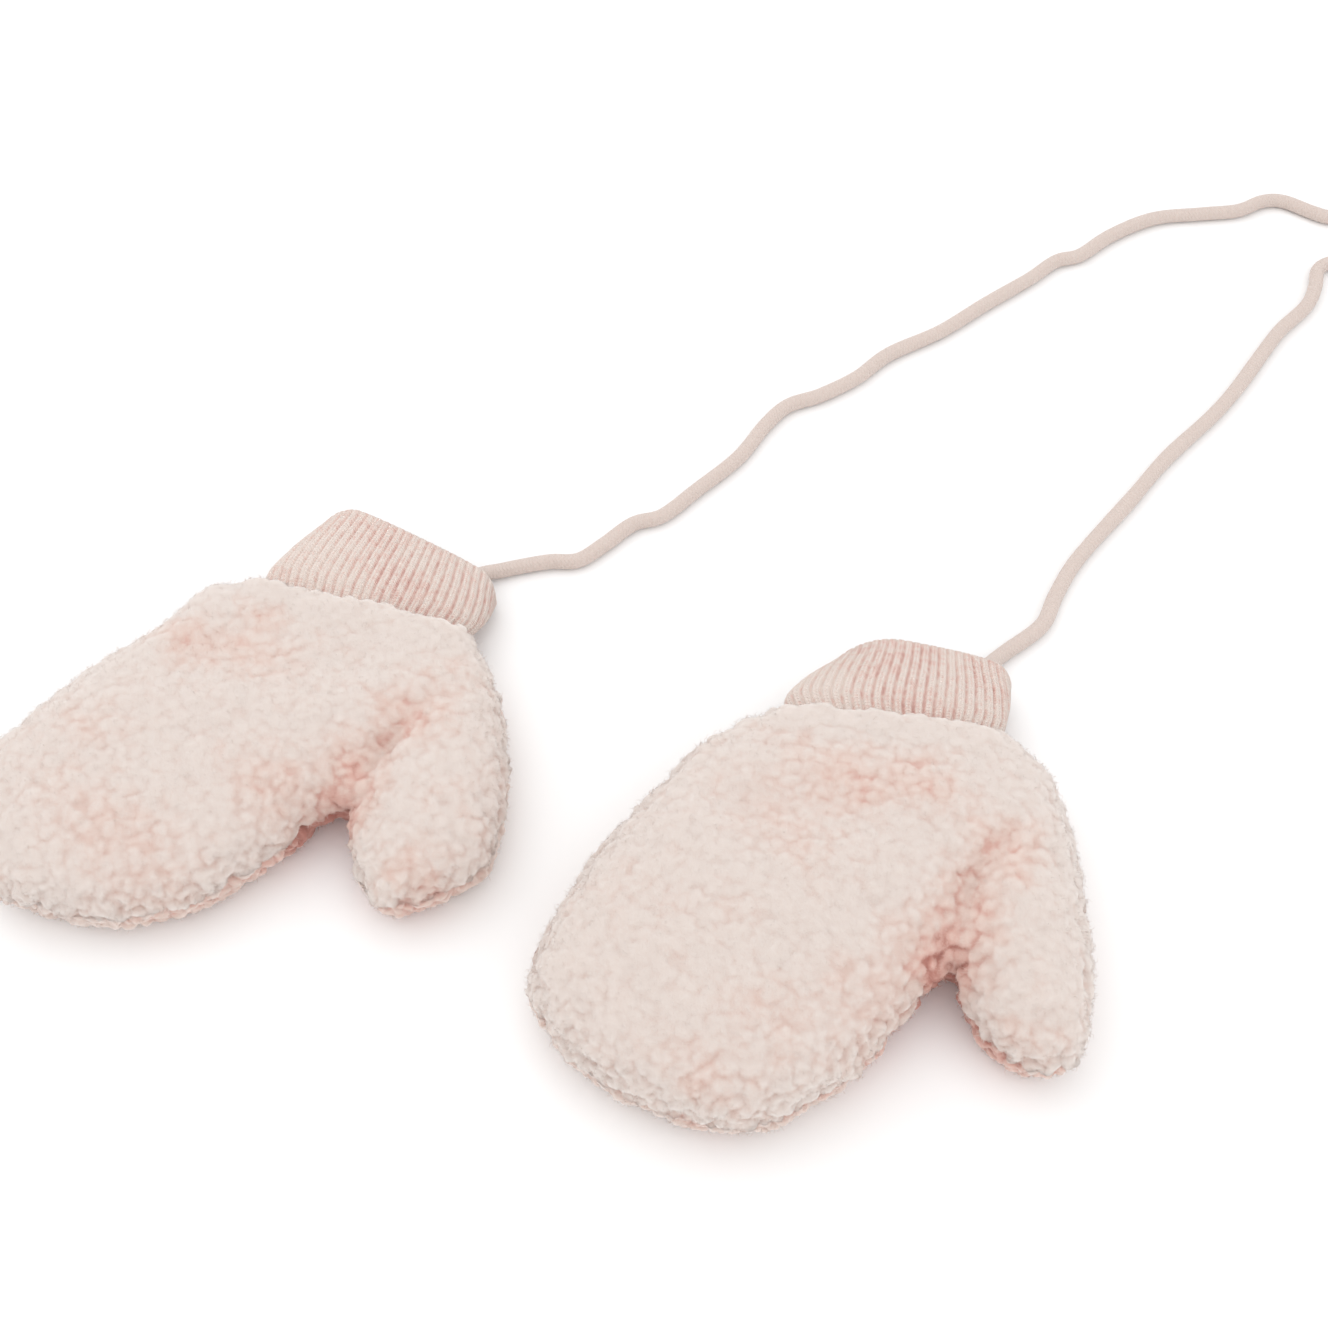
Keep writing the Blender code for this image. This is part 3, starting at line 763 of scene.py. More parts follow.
@dataclass
class JoiningCord:
    """The knit cord from cuff to cuff, with its spare length in a coil.

    The coil's angles run on from its first point, its lifts are shares of the
    height of a crossing, and the routes are given in mm.
    """

    diameter: float = 4.3 * MM
    level: float = 2.2 * MM
    sides: int = 16
    step: float = 1.0 * MM
    coil_centre: tuple[float, float] = (278.4 * MM, 205.2 * MM)
    outer_turn: float = 24.2 * MM
    inner_turn: float = 19.8 * MM
    coil_from_deg: float = 120.0
    coil_over_deg: float = 600.0
    coil_step_deg: float = 20.0
    inward_from_deg: float = 240.0
    inward_over_deg: float = 120.0
    lift_from_deg: float = 500.0
    lift_over_deg: float = 100.0
    crossing: float = 4.3 * MM
    coil_lift: float = 0.85
    leaving_lift: float = 0.45
    leaving: tuple[float, float] = (259.0 * MM, 191.6 * MM)
    uneven: float = 0.035
    uneven_length: float = 14.0 * MM
    flatness: float = 0.96
    lowest: float = 0.05 * MM
    shade: float = 0.65
    mouth_step: int = 10
    left_route: tuple = (
        (-22.0, 57.9, 7.5), (-20.5, 61.8, 6.2), (-18.5, 66.1, 5.5), (-15.0, 70.1, 3.7),
        (-9.3, 72.7, 2.2), (2.9, 75.6, 2.2), (11.1, 76.1, 2.2), (18.3, 81.7, 2.2),
        (26.3, 89.1, 2.2), (34.5, 92.1, 2.2), (44.3, 101.6, 2.2), (56.3, 113.7, 2.2),
        (64.5, 126.3, 2.2), (71.5, 134.1, 2.2), (81.1, 138.2, 2.2), (92.5, 145.5, 2.2),
        (102.7, 155.1, 2.2), (119.0, 164.7, 2.2), (133.9, 176.5, 2.2), (148.7, 187.6, 2.2),
        (158.1, 195.7, 2.2), (166.1, 198.5, 2.2), (177.3, 207.7, 2.2), (191.9, 215.5, 2.2),
        (207.2, 217.7, 2.2), (219.5, 219.3, 2.2), (228.3, 223.7, 2.2), (235.1, 223.7, 2.2),
        (243.1, 218.7, 2.2), (248.3, 216.3, 2.2), (254.2, 217.5, 2.2),
    )
    right_route: tuple = (
        (114.0, 24.3, 7.6), (115.8, 29.3, 6.3), (117.8, 34.3, 5.6), (120.5, 39.5, 3.7),
        (125.3, 44.5, 2.2), (136.4, 53.6, 2.2), (141.3, 63.3, 2.2), (147.1, 73.5, 2.2),
        (154.5, 83.1, 2.2), (166.9, 97.7, 2.2), (179.7, 113.5, 2.2), (195.7, 129.9, 2.2),
        (205.5, 141.7, 2.2), (215.5, 155.7, 2.2), (222.7, 165.3, 2.2), (232.7, 175.7, 2.2),
        (237.3, 184.3, 2.2), (239.6, 191.6, 2.2), (244.8, 195.0, 2.2), (253.6, 193.2, 2.2),
    )

    def coil_points(self) -> Array:
        """The coil's turns, seen from above clockwise from the left strand to the right one.

        Returns:
            Points along the cord's middle.
        """
        turned = np.arange(0.0, self.coil_over_deg + 1.0, self.coil_step_deg)
        angle = np.radians(self.coil_from_deg - turned)
        inward = eased((turned - self.inward_from_deg) / self.inward_over_deg)
        radius = self.outer_turn + (self.inner_turn - self.outer_turn) * inward
        lift = eased((turned - self.lift_from_deg) / self.lift_over_deg)
        return np.column_stack([self.coil_centre[0] + radius * np.cos(angle),
                                self.coil_centre[1] + radius * np.sin(angle),
                                self.level + self.coil_lift * self.crossing * lift])

    def path(self) -> Array:
        """The cord's middle, from the left cuff to the right cuff.

        Returns:
            Points a step apart.
        """
        left = np.array(self.left_route) * MM
        right = np.array(self.right_route)[::-1] * MM
        right[0, 2] += self.leaving_lift * self.crossing
        over = np.array([(*self.leaving, self.level + self.crossing)])
        line = smooth_curve(np.vstack([left, self.coil_points(), over, right]), self.step)
        line[:, 2] = np.maximum(line[:, 2], self.level)
        return line

    def tube(self, line: Array) -> MeshData:
        """A closed knit tube, its columns of stitches running along it.

        Args:
            line: points along its middle.

        Returns:
            The tube's mesh.
        """
        ahead = np.gradient(line, axis=0)
        ahead /= np.linalg.norm(ahead, axis=1)[:, None]
        side = np.cross(ahead, np.array([0.0, 0.0, 1.0]))
        side /= np.linalg.norm(side, axis=1)[:, None]
        up = np.cross(side, ahead)
        run = np.r_[0.0, np.cumsum(np.linalg.norm(np.diff(line, axis=0), axis=1))]
        places = np.column_stack([run, np.zeros((len(run), 2))])
        swell = 1.0 + self.uneven * soft_noise(places, self.uneven_length, 5)[:, 0]
        angle = 2.0 * math.pi * np.arange(self.sides) / self.sides
        radius = 0.5 * self.diameter * swell[:, None]
        points = (line[:, None]
                  + (radius * np.cos(angle))[..., None] * side[:, None]
                  + (radius * self.flatness * np.sin(angle))[..., None] * up[:, None])
        points = points.reshape(-1, 3)
        points[:, 2] = np.maximum(points[:, 2], self.lowest)
        count, n = self.sides, len(line)
        k = np.arange(count)
        r = np.arange(n - 1)[:, None] * count
        around = (k + 1) % count
        faces = np.stack([r + count + k, r + count + around, r + around, r + k], axis=-1)
        cap = [(i, i + 1, count - 2 - i, count - 1 - i) for i in range(count // 2 - 1)]
        far_cap = np.array([flipped(f) for f in cap]) + (n - 1) * count
        values = {"height": np.full(len(points), self.shade), "shade_and_tone": np.zeros(len(points)),
                  "along": np.repeat(run / MM, count), "slant": np.tile(0.5 * (k % 2), n)}
        return MeshData(points, np.vstack([faces.reshape(-1, 4), cap, far_cap]), values)

    def build(self) -> None:
        """The cord as one piece."""
        line = self.path()
        piece = self.tube(line).made("joining_cord")
        piece.data.materials.append(CORD_KNIT.material())
        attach(piece, BODY)
        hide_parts("cord_left", "cord_right", "cord_coil")


# --------------------------------------------------------------------------- mitten


@dataclass(frozen=True)
class Place:
    """Where a mitten lies, how plump it is and how its cuff leans (mm and degrees).

    The mouth's edge falls back at its corners, from a share of the half width
    on, the ribs run round the cuff by the twist, and the cuff stands out by
    the bulge on its little-finger side.
    """

    side: Side
    x: float
    y: float
    turn: float
    breadth: float
    fullness: float
    mouth_x: float
    mouth_y: float
    lean: float
    mouth_width: float
    mouth_depth: float
    little_fall: float
    little_from: float
    thumb_fall: float
    thumb_from: float
    twist: float
    little_bulge: float


PLACES = (
    Place(Side.LEFT, x=-38.5, y=60.7, turn=-34.5, breadth=0.98, fullness=0.80, mouth_x=-3.5,
          mouth_y=17.0, lean=3.9, mouth_width=54.0, mouth_depth=12.0, little_fall=4.4,
          little_from=0.72, thumb_fall=4.0, thumb_from=0.74, twist=7.5, little_bulge=0.4),
    Place(Side.RIGHT, x=93.6, y=19.1, turn=-27.4, breadth=1.00, fullness=1.00, mouth_x=0.0,
          mouth_y=22.4, lean=13.0, mouth_width=44.0, mouth_depth=14.0, little_fall=6.8,
          little_from=0.30, thumb_fall=3.2, thumb_from=0.78, twist=7.0, little_bulge=2.2),
)

# The crotch between thumb and hand (mm, in the mitten's frame).
CROTCH = (39.0, -64.5)

# Side seam from the little-finger side of the wrist round the fingertips and the
# thumb to the wrist again: place, x, y, and how far the left mitten's lies off
# (mm, in the mitten's frame).
SEAM = (
    ("wrist, little-finger side", -28.6, -17.0, -2.9, -8.0),
    ("heel of the hand", -36.5, -27.5, -2.6, -3.0),
    ("side of the palm", -41.7, -44.0, 2.9, -1.0),
    ("little finger", -46.5, -66.0, 2.4, -0.4),
    ("widest, little-finger side", -48.1, -88.0, 1.0, -1.0),
    ("fingertip corner", -44.7, -109.3, 1.0, -2.8),
    ("fingertips", -25.5, -120.0, 0.8, -3.8),
    ("fingertips, middle", -6.0, -121.4, 0.3, -1.0),
    ("first fingertip", 14.1, -115.4, -2.8, 2.2),
    ("first finger", 27.7, -99.5, -3.4, 1.2),
    ("first finger, root side", 33.7, -80.7, -3.3, 0.8),
    ("crotch, hand side", 37.4, -65.8, -4.4, 0.9),
    ("crotch", 40.2, -59.0, -2.0, -0.4),
    ("crotch, thumb side", 44.0, -65.0, -1.7, -1.0),
    ("thumb, inner side", 52.0, -72.2, -0.8, -0.6),
    ("thumb tip", 62.8, -74.7, -0.3, -1.7),
    ("thumb, outer corner", 73.2, -67.9, -2.5, 1.2),
    ("thumb, outer side", 71.0, -53.0, 4.8, 0.8),
    ("thumb's root", 63.2, -34.0, 3.5, -0.4),
    ("ball of the thumb", 52.1, -14.3, -0.3, -1.3),
    ("above the thumb", 41.7, -1.3, -3.4, -4.6),
    ("wrist, thumb side", 30.7, 3.5, 1.3, -5.7),
)

# Soft troughs in the back: x and y of both ends, half width, and depth at each end
# (mm, in the mitten's frame).
TROUGHS = (
    (38.5, -63.0, 36.5, -28.0, 7.5, 4.5, 0.5),
    (38.5, -64.0, 36.0, -43.0, 2.4, 5.0, 3.6),
    (36.0, -43.0, 39.0, -21.0, 2.4, 3.4, 1.2),
    (-18.0, -46.0, 12.0, -31.0, 10.0, 2.6, 1.8),
    (57.0, -70.5, 68.0, -65.5, 2.4, 1.8, 1.8),
)

# Patches where the pile parts and its painted shade lies deeper and pinker: x, y,
# half length, half breadth (mm, in the mitten's frame) and how much.
PARTING_SHADE = {
    Side.RIGHT: (
        (0.0, -31.0, 12.0, 9.0, 1.0), (16.0, -24.0, 11.0, 8.0, 0.9),
        (-22.0, -27.0, 8.0, 5.0, 0.4), (-6.0, -51.0, 14.0, 8.0, 0.6),
        (40.0, -33.0, 8.0, 8.0, 0.9), (38.0, -50.0, 8.0, 13.0, 1.0),
        (32.0, -64.0, 8.0, 7.0, 0.9), (31.0, -78.0, 7.0, 10.0, 0.8),
        (22.0, -84.0, 8.0, 10.0, 0.6), (11.0, -96.0, 11.0, 9.0, 0.6),
        (2.0, -112.0, 12.0, 6.0, 0.7), (-21.0, -80.0, 9.0, 6.0, 0.35),
        (-34.0, -81.0, 7.0, 5.0, 0.35), (61.0, -72.0, 9.0, 4.0, 0.5),
    ),
    Side.LEFT: (
        (-25.0, -49.0, 11.0, 6.0, 0.8), (-13.0, -33.0, 7.0, 5.0, 0.8),
        (-7.0, -43.0, 12.0, 7.0, 0.6), (-26.0, -81.0, 12.0, 6.0, 0.5),
        (36.0, -21.0, 8.0, 8.0, 0.6), (37.0, -34.0, 9.0, 8.0, 1.0),
        (34.0, -54.0, 8.0, 9.0, 1.0), (22.0, -69.0, 12.0, 8.0, 0.8),
        (2.0, -100.0, 22.0, 10.0, 0.7), (19.0, -105.0, 8.0, 4.0, 0.6),
        (57.0, -48.0, 8.0, 5.0, 0.5), (65.0, -67.0, 8.0, 6.0, 0.6),
    ),
}


@dataclass
class MittenForm:
    """The outer form of one mitten, in its own frame.

    The rooms are how clear its inner points stay of the seam and of the wrist
    line, as shares of their own spacing.
    """

    place: Place
    seam_height: float = 12.0 * MM
    back_rise: float = 16.5 * MM
    back_reach: float = 17.0 * MM
    palm_drop: float = 14.0 * MM
    palm_reach: float = 9.0 * MM
    fleece: float = 6.0 * MM
    wrist_rise: float = 9.8 * MM
    wrist_drop: float = 9.8 * MM
    wrist_reach: float = 7.0 * MM
    wrist_fleece: float = 3.8 * MM
    wrist_blend: float = 26.0 * MM
    wrist_run: float = 45.0 * MM
    roll_rise: float = 1.6 * MM
    roll_place: float = 4.0 * MM
    roll_half: float = 5.5 * MM
    gap: float = 0.3 * MM
    line_step: float = 1.5 * MM
    softness: float = 0.35 * MM
    batch: int = 20000
    ring_room: float = 0.93
    ring_end_room: float = 0.45
    grid_room: float = 0.55
    grid_end_room: float = 0.7

    def __post_init__(self) -> None:
        """Works out the seam and the wrist line."""
        shift = 1.0 if self.place.side is Side.LEFT else 0.0
        self.corners = np.array([(x + shift * dx, y + shift * dy)
                                 for _, x, y, dx, dy in SEAM]) * MM
        self.corners[:, 0] *= self.place.breadth
        first, last = self.corners[0], self.corners[-1]
        self.wrist_width = float(np.linalg.norm(last - first))
        self.wrist = 0.5 * (first + last)
        self.along = (last - first) / self.wrist_width
        self.out = np.array([-self.along[1], self.along[0]])
        self.mouth = np.array([self.place.mouth_x, self.place.mouth_y]) * MM
        line = smooth_curve(self.corners, self.line_step)
        run = np.arange(self.line_step, self.wrist_run, self.line_step)[:, None] * self.out
        self.long_seam = np.vstack([(line[0] + run)[::-1], line, line[-1] + run])

    def seam_distance(self, points: Array) -> Array:
        """A smooth distance to the seam, without a ridge down the middle.

        Args:
            points: flat places in the mitten's frame, one a row.

        Returns:
            The distance of each.
        """
        middle = 0.5 * (self.long_seam[1:] + self.long_seam[:-1])
        length = np.linalg.norm(np.diff(self.long_seam, axis=0), axis=1)
        found = []
        for part in np.array_split(points, max(1, len(points) // self.batch)):
            square = ((part[:, None] - middle[None]) ** 2).sum(axis=2) + self.softness ** 2
            found.append(np.sqrt(2.0 / (length / square ** 1.5).sum(axis=1)) - self.softness)
        return np.maximum(np.concatenate(found), 0.0)

    def hand_share(self, points: Array) -> Array:
        """0 at the wrist line, 1 where the hand has its full thickness."""
        return eased(-((points - self.wrist) @ self.out) / self.wrist_blend)

    def dome(self, points: Array, reach: float) -> Array:
        """0 at the seam, rising upright from it to 1 in the middle."""
        reaches = self.wrist_reach + (reach - self.wrist_reach) * self.hand_share(points)
        return np.sqrt(1.0 - np.exp(-2.0 * self.seam_distance(points) / reaches))

    def trough_depth(self, points: Array) -> Array:
        """How much the soft troughs lower the back panel.

        Args:
            points: flat places in the mitten's frame, one a row.

        Returns:
            The depth at each.
        """
        depth = np.zeros(len(points))
        for x0, y0, x1, y1, half, deep0, deep1 in TROUGHS:
            start = np.array([x0, y0]) * MM
            way = np.array([x1, y1]) * MM - start
            t = np.clip((points - start) @ way / (way @ way), 0.0, 1.0)
            off = np.linalg.norm(points - (start + t[:, None] * way), axis=1)
            depth += (deep0 + (deep1 - deep0) * t) * MM * np.exp(-(off / (half * MM)) ** 2)
        return depth

    def roll(self, points: Array) -> Array:
        """How much the soft roll beside the wrist seam raises the back panel."""
        past = (self.roll_place + (points - self.wrist) @ self.out) / self.roll_half
        return self.roll_rise * np.exp(-past ** 2)

    def back_height(self, points: Array) -> Array:
        """Height of the back panel's outer side.

        Args:
            points: flat places in the mitten's frame, one a row.

        Returns:
            The height at each.
        """
        full = self.back_rise * self.place.fullness
        low = self.wrist_rise * (0.3 + 0.7 * self.place.fullness)
        rise = low + (full - low) * self.hand_share(points)
        dome = self.dome(points, self.back_reach)
        raised = self.roll(points) - self.trough_depth(points)
        return self.seam_height + rise * dome + raised * dome ** 2

    def palm_height(self, points: Array) -> Array:
        """Height of the palm panel's outer side, before the floor cuts it flat."""
        drop = self.wrist_drop + (self.palm_drop - self.wrist_drop) * self.hand_share(points)
        return self.seam_height - drop * self.dome(points, self.palm_reach)

    def plan(self, edge_step: float, rings: tuple[float, ...],
             step: float) -> tuple[Array, Array, int, Array]:
        """Flat triangles over the hand and thumb.

        Args:
            edge_step: spacing of the points along the seam.
            rings: distances of the rings of points beside the seam.
            step: spacing of the points in the middle.

        Returns:
            The points, the triangles, how many points the outline has, and the
            outward directions along its seam, which comes first.
        """
        seam = smooth_curve(self.corners, edge_step)
        tangent = np.gradient(seam, axis=0)
        tangent /= np.linalg.norm(tangent, axis=1)[:, None]
        outward = np.column_stack([tangent[:, 1], -tangent[:, 0]])
        far = rings[-1]
        middle = np.linspace(far, self.wrist_width - far,
                             int(round((self.wrist_width - 2 * far) / step)) + 1)
        near = np.array(rings[:-1])
        across = np.concatenate([near, middle, self.wrist_width - near[::-1]])
        rim = np.vstack([seam, seam[-1] - across[:, None] * self.along])
        inside = [self.clear((seam - outward * r)[1:-1], self.ring_room * r,
                             self.ring_end_room * step) for r in rings]
        inside.append(self.clear(self.grid(rim, step), far + self.grid_room * step,
                                 self.grid_end_room * step))
        points = np.vstack([rim] + inside)
        edges = [(k, (k + 1) % len(rim)) for k in range(len(rim))]
        found = delaunay_2d_cdt([Vector(p) for p in points], edges, [], 1, 1e-9)
        origin = np.array([o[0] for o in found[3]])
        outward[0], outward[-1] = -self.along, self.along
        return points, origin[np.array([f[:] for f in found[2]])], len(rim), outward

    def grid(self, rim: Array, step: float) -> Array:
        """A triangular grid of points.

        Args:
            rim: the outline that they lie inside.
            step: their spacing.

        Returns:
            The points, one a row.
        """
        lows, highs = rim.min(axis=0), rim.max(axis=0)
        rows = np.arange(lows[1], highs[1], step * math.sqrt(3.0) / 2.0)
        columns = np.arange(lows[0], highs[0] + step, step)
        x, y = np.meshgrid(columns, rows)
        x = x + 0.5 * step * (np.arange(len(rows)) % 2)[:, None]
        points = np.column_stack([x.ravel(), y.ravel()])
        return points[inside_outline(points, rim)]

    def clear(self, points: Array, distance: float, from_wrist: float) -> Array:
        """The points that stay clear of the seam and of the wrist line.

        Args:
            points: flat places, one a row.
            distance: how far from the seam they have to be.
            from_wrist: how far from the wrist line.

        Returns:
            The points that are farther away.
        """
        away = np.array([np.linalg.norm(self.long_seam - p, axis=1).min() for p in points])
        below = (points - self.wrist) @ self.out < -from_wrist
        return points[(away > distance) & below]

    def turned(self, vectors: Array) -> Array:
        """Turns vectors from the mitten's frame to how it lies.

        Args:
            vectors: the vectors, one a row.

        Returns:
            The turned vectors.
        """
        turn = math.radians(self.place.turn)
        c, s = math.cos(turn), math.sin(turn)
        return np.column_stack([vectors[:, :2] @ np.array([[c, s], [-s, c]]), vectors[:, 2]])

    def placed(self, points: Array) -> Array:
        """Turns and moves points from the mitten's frame to where it lies."""
        return self.turned(points) + np.array([self.place.x, self.place.y, 0.0]) * MM


@dataclass(frozen=True)
class Bumps:
    """One size of bump in the pile, and how much it rises from place to place.

    The level is the share of a bump's height that lies at the smooth form, and
    the shares of the rise hold on the flat, where the pile parts, on steep
    sides and on the palm's side of the seam.
    """

    size: float
    rise: float
    sharp: float
    level: float
    flat: float
    parted: float
    steep: float
    below: float

    def heights(self, points: Array, seed: int) -> Array:
        """How high each point lies on the bumps, from 0 to 1."""
        return tufts(points, self.size, seed, self.sharp)

    def raised(self, heights: Array, parting_shade: Array, steep: Array, below: Array) -> Array:
        """How far the bumps move each point out of the smooth form.

        Args:
            heights: how high each point lies on them.
            parting_shade: how much the pile parts there.
            steep: how steep the smooth form is there.
            below: 1 on the palm's side of the seam.

        Returns:
            The distance of each, less than 0 for a dent.
        """
        share = self.flat + self.parted * parting_shade + self.steep * steep + self.below * below
        return self.rise * share * (heights - self.level)


@dataclass(frozen=True)
class PileShade:
    """Painted shade: how deep the pile's colours lie, as shares of the way from its tops to its
    pits.
    """

    flat: float = 0.29
    parted: float = 0.53
    steep: float = 0.35
    by_tuft: float = 0.85
    by_curl: float = 0.15
    parting_shade: float = 0.4
    crease: float = 0.5
    trough_per_mm: float = 0.06
    trough_least: float = -0.25
    trough_most: float = 0.22
    roll: float = 1.3
    crotch: float = 0.75
    crotch_reach_mm: float = 6.0
    under_crotch: float = 0.95
    under_crotch_reach_mm: float = 22.0
    below: float = 0.38
    below_from: float = 1.0 * MM
    below_over: float = 3.0 * MM
    patch: float = 0.06
    patch_size: float = 16.0 * MM
    level: float = -0.10


@dataclass(frozen=True)
class LooseFibres:
    """Sizes of the loose fibres, and where they stand.

    Each pair is the least and what chance adds, and for the shade what the
    pile's own height adds.
    """

    length_mm: tuple[float, float] = (0.8, 1.5)
    width_mm: tuple[float, float] = (0.07, 0.07)
    bend: tuple[float, float] = (1.0, 2.4)
    rooted: float = 0.15 * MM
    taper: tuple[float, ...] = (1.0, 0.8, 0.05)
    sides: int = 3
    upright: float = 0.6
    shade: tuple[float, float] = (0.15, 0.8)
    deep_share: float = 0.15
    least_share: float = 0.05
    on_tops: float = 0.5
    on_flat: float = 0.4
    on_steep: float = 3.0


@dataclass
class FleeceHand:
    """The teddy-fleece hand of one mitten: curled pile, loose fibres and knit backing."""

    form: MittenForm

    # The smooth form under the pile.
    edge_step: float = 1.6 * MM
    rings: tuple[float, ...] = (0.12 * MM, 0.45 * MM, 1.0 * MM, 1.8 * MM, 3.0 * MM, 4.6 * MM)
    step: float = 2.4 * MM
    voxel: float = 1.75 * MM
    softened: int = 3

    # Bumps of the pile, and how it is pressed flat where it rests.
    tufts: Bumps = Bumps(size=2.5 * MM, rise=1.5 * MM, sharp=5.5, level=0.68,
                         flat=0.23, parted=0.24, steep=0.9, below=0.6)
    curls: Bumps = Bumps(size=1.4 * MM, rise=0.35 * MM, sharp=5.0, level=0.5,
                         flat=0.25, parted=0.0, steep=2.0, below=0.0)
    clumps: Bumps = Bumps(size=5.0 * MM, rise=1.3 * MM, sharp=5.0, level=0.5,
                          flat=0.38, parted=0.0, steep=0.95, below=0.0)
    swirl: float = 0.6 * MM
    swirl_size: float = 2.0 * MM
    lump: float = 0.5 * MM
    lump_size: float = 10.0 * MM
    flat_rise: float = 0.3 * MM
    flat_rise_loss: float = 0.9
    edge_draw: float = 0.4 * MM
    smooth_share: float = 0.7
    pressed_below: float = 0.2 * MM
    pressed_over: float = 1.6 * MM
    below_over: float = 1.0 * MM

    # Patches where the pile parts, and the crease along the side seam; both also deepen the
    # painted shade.
    parting_shade_level: float = 0.14
    parting_shade_size: float = 7.0 * MM
    parting_shade_fall: float = 0.55
    ragged: float = 3.0 * MM
    ragged_size: float = 5.0 * MM
    crease_depth: float = 0.3 * MM
    crease_size: float = 9.0 * MM
    crease_wander: float = 0.7 * MM
    crease_half: float = 1.1 * MM
    crease_level: float = 0.3
    crease_change: float = 1.4
    tint: PileShade = PileShade()

    # Loose fibres.
    fibre: LooseFibres = LooseFibres()
    back_fibres: int = 8500
    palm_fibres: int = 2500

    # Where the palm's pile is split into its edge and its coarser sole.
    sole_top: float = 0.35 * MM
    edge_bottom: float = 0.25 * MM

    # The knit backing and the panel's cut.
    backing_edge_step: float = 3.0 * MM
    backing_rings: tuple[float, ...] = (0.9 * MM, 2.9 * MM, 6.0 * MM)
    backing_step: float = 4.5 * MM
    backing_depths: tuple[float, float] = (0.82, 1.0)
    backing_spread: float = 3.0 * MM
    backing_rise: float = 0.2 * MM
    backing_end: float = 0.5 * MM
    slope_reach: float = 0.4 * MM
    cut_rise: float = 12.0 * MM

    @property
    def side(self) -> str:
        """The side's name, as the nodes use it."""
        return self.form.place.side.value

    @property
    def seed(self) -> int:
        """The start of this mitten's own scatters."""
        return 11 if self.form.place.side is Side.LEFT else 23

    def body(self) -> bpy.types.Object:
        """Back and palm as one closed form of even quads, before the pile.

        Returns:
            A working object, whose modifier "fine" sets how fine it is.
        """
        flat, triangles, rim, outward = self.form.plan(self.edge_step, self.rings, self.step)
        top = np.column_stack([flat, self.form.back_height(flat)])
        bottom = np.column_stack([flat, np.maximum(self.form.palm_height(flat), 0.0)])
        top[:len(outward), 2] = bottom[:len(outward), 2] = self.form.seam_height
        work = plain_object("hand_form", np.vstack([top, bottom]),
                            shell_faces(triangles, rim, len(flat)))
        even = work.modifiers.new("even", "REMESH")
        even.mode = "VOXEL"
        even.voxel_size = self.voxel
        soft = work.modifiers.new("soft", "SMOOTH")
        soft.factor = 0.5
        soft.iterations = self.softened
        fine = work.modifiers.new("fine", "SUBSURF")
        fine.levels = fine.render_levels = 2
        return work

    def relief(self, mesh: MeshData) -> MeshData:
        """Raises the tufts and curls of the pile from the smooth form.

        Args:
            mesh: the smooth form in the mitten's frame.

        Returns:
            The same faces with raised points, and each point's painted shade: how high its
            colour lies and how much pinker it is.
        """
        p, tint = mesh.points, self.tint
        normal = point_normals(p, mesh.faces)
        swirl = p + self.swirl * soft_noise(p, self.swirl_size, self.seed)
        tuft = self.tufts.heights(swirl, self.seed + 1)
        curl = self.curls.heights(swirl, self.seed + 2)
        lump = soft_noise(p, self.lump_size, self.seed + 3)[:, 0]
        clump = self.clumps.heights(p, self.seed + 6)
        parting_shade = self.parting_shade(p)
        crease = self.seam_crease(p)
        steep = 1.0 - np.abs(normal[:, 2])
        pressed = eased((p[:, 2] - self.pressed_below) / self.pressed_over)
        below = pressed * eased((self.form.seam_height - p[:, 2]) / self.below_over)
        rise = self.tufts.raised(tuft, parting_shade, steep, below)
        rise += self.flat_rise * (1.0 - self.flat_rise_loss * steep)
        rise += self.curls.raised(curl, parting_shade, steep, below) + self.lump * lump
        rise += self.clumps.raised(clump, parting_shade, steep, below) - self.crease_depth * crease
        rise -= self.edge_draw * below * steep
        lower = np.where(normal[:, 2] < -0.5, np.minimum(rise, 0.0), rise)
        rise = lower + (rise - lower) * pressed
        raised = p + normal * rise[:, None]
        raised[:, 2] = np.maximum(raised[:, 2], FLOOR_CLEARANCE)
        # Painted shade: the colour lies deeper between the tufts and curls, on steep sides and
        # where the pile parts.
        parted = tint.flat + tint.parted * parting_shade + tint.steep * steep
        parted *= 1.0 - tint.by_tuft * tuft - tint.by_curl * curl
        # Painted shade: pinker still where the pile parts and in the seam's crease.
        shade_and_tone = self.shade_and_tone(p, normal) + tint.parting_shade * parting_shade + tint.crease * crease
        own = point_normals(raised, mesh.faces)
        return MeshData(raised, mesh.faces, {"height": 1.0 - parted, "shade_and_tone": shade_and_tone},
                        unit(self.smooth_share * normal + (1.0 - self.smooth_share) * own))

    def parting_shade(self, points: Array) -> Array:
        """How much the pile parts, which also sets how deep its painted shade lies.

        Args:
            points: places in the mitten's frame.

        Returns:
            0 where it lies close, up to about 1 where it parts.
        """
        patches = soft_noise(points, self.parting_shade_size, self.seed + 4)[:, 1]
        found = self.parting_shade_level * (1.0 + patches)
        shift = soft_noise(points, self.ragged_size, self.seed + 7)[:, :2]
        ragged = points[:, :2] + self.ragged * shift
        for x, y, long_half, short_half, share in PARTING_SHADE[self.form.place.side]:
            off = (ragged / MM - (x, y)) / (long_half, short_half)
            patch = share * np.exp(-self.parting_shade_fall * (off ** 2).sum(axis=1))
            found = np.maximum(found, patch)
        return found

    def seam_crease(self, points: Array) -> Array:
        """Where the side seam draws the pile in, more in some places than in others, which also
        deepens the painted shade there.

        Args:
            points: places in the mitten's frame.

        Returns:
            0 away from the seam, up to 1 in it.
        """
        wander = soft_noise(points, self.crease_size, self.seed + 8)
        level = self.form.seam_height + self.crease_wander * wander[:, 0]
        off = (points[:, 2] - level) / self.crease_half
        share = np.clip(self.crease_level + self.crease_change * wander[:, 1], 0.0, 1.0)
        return np.exp(-off ** 2) * share

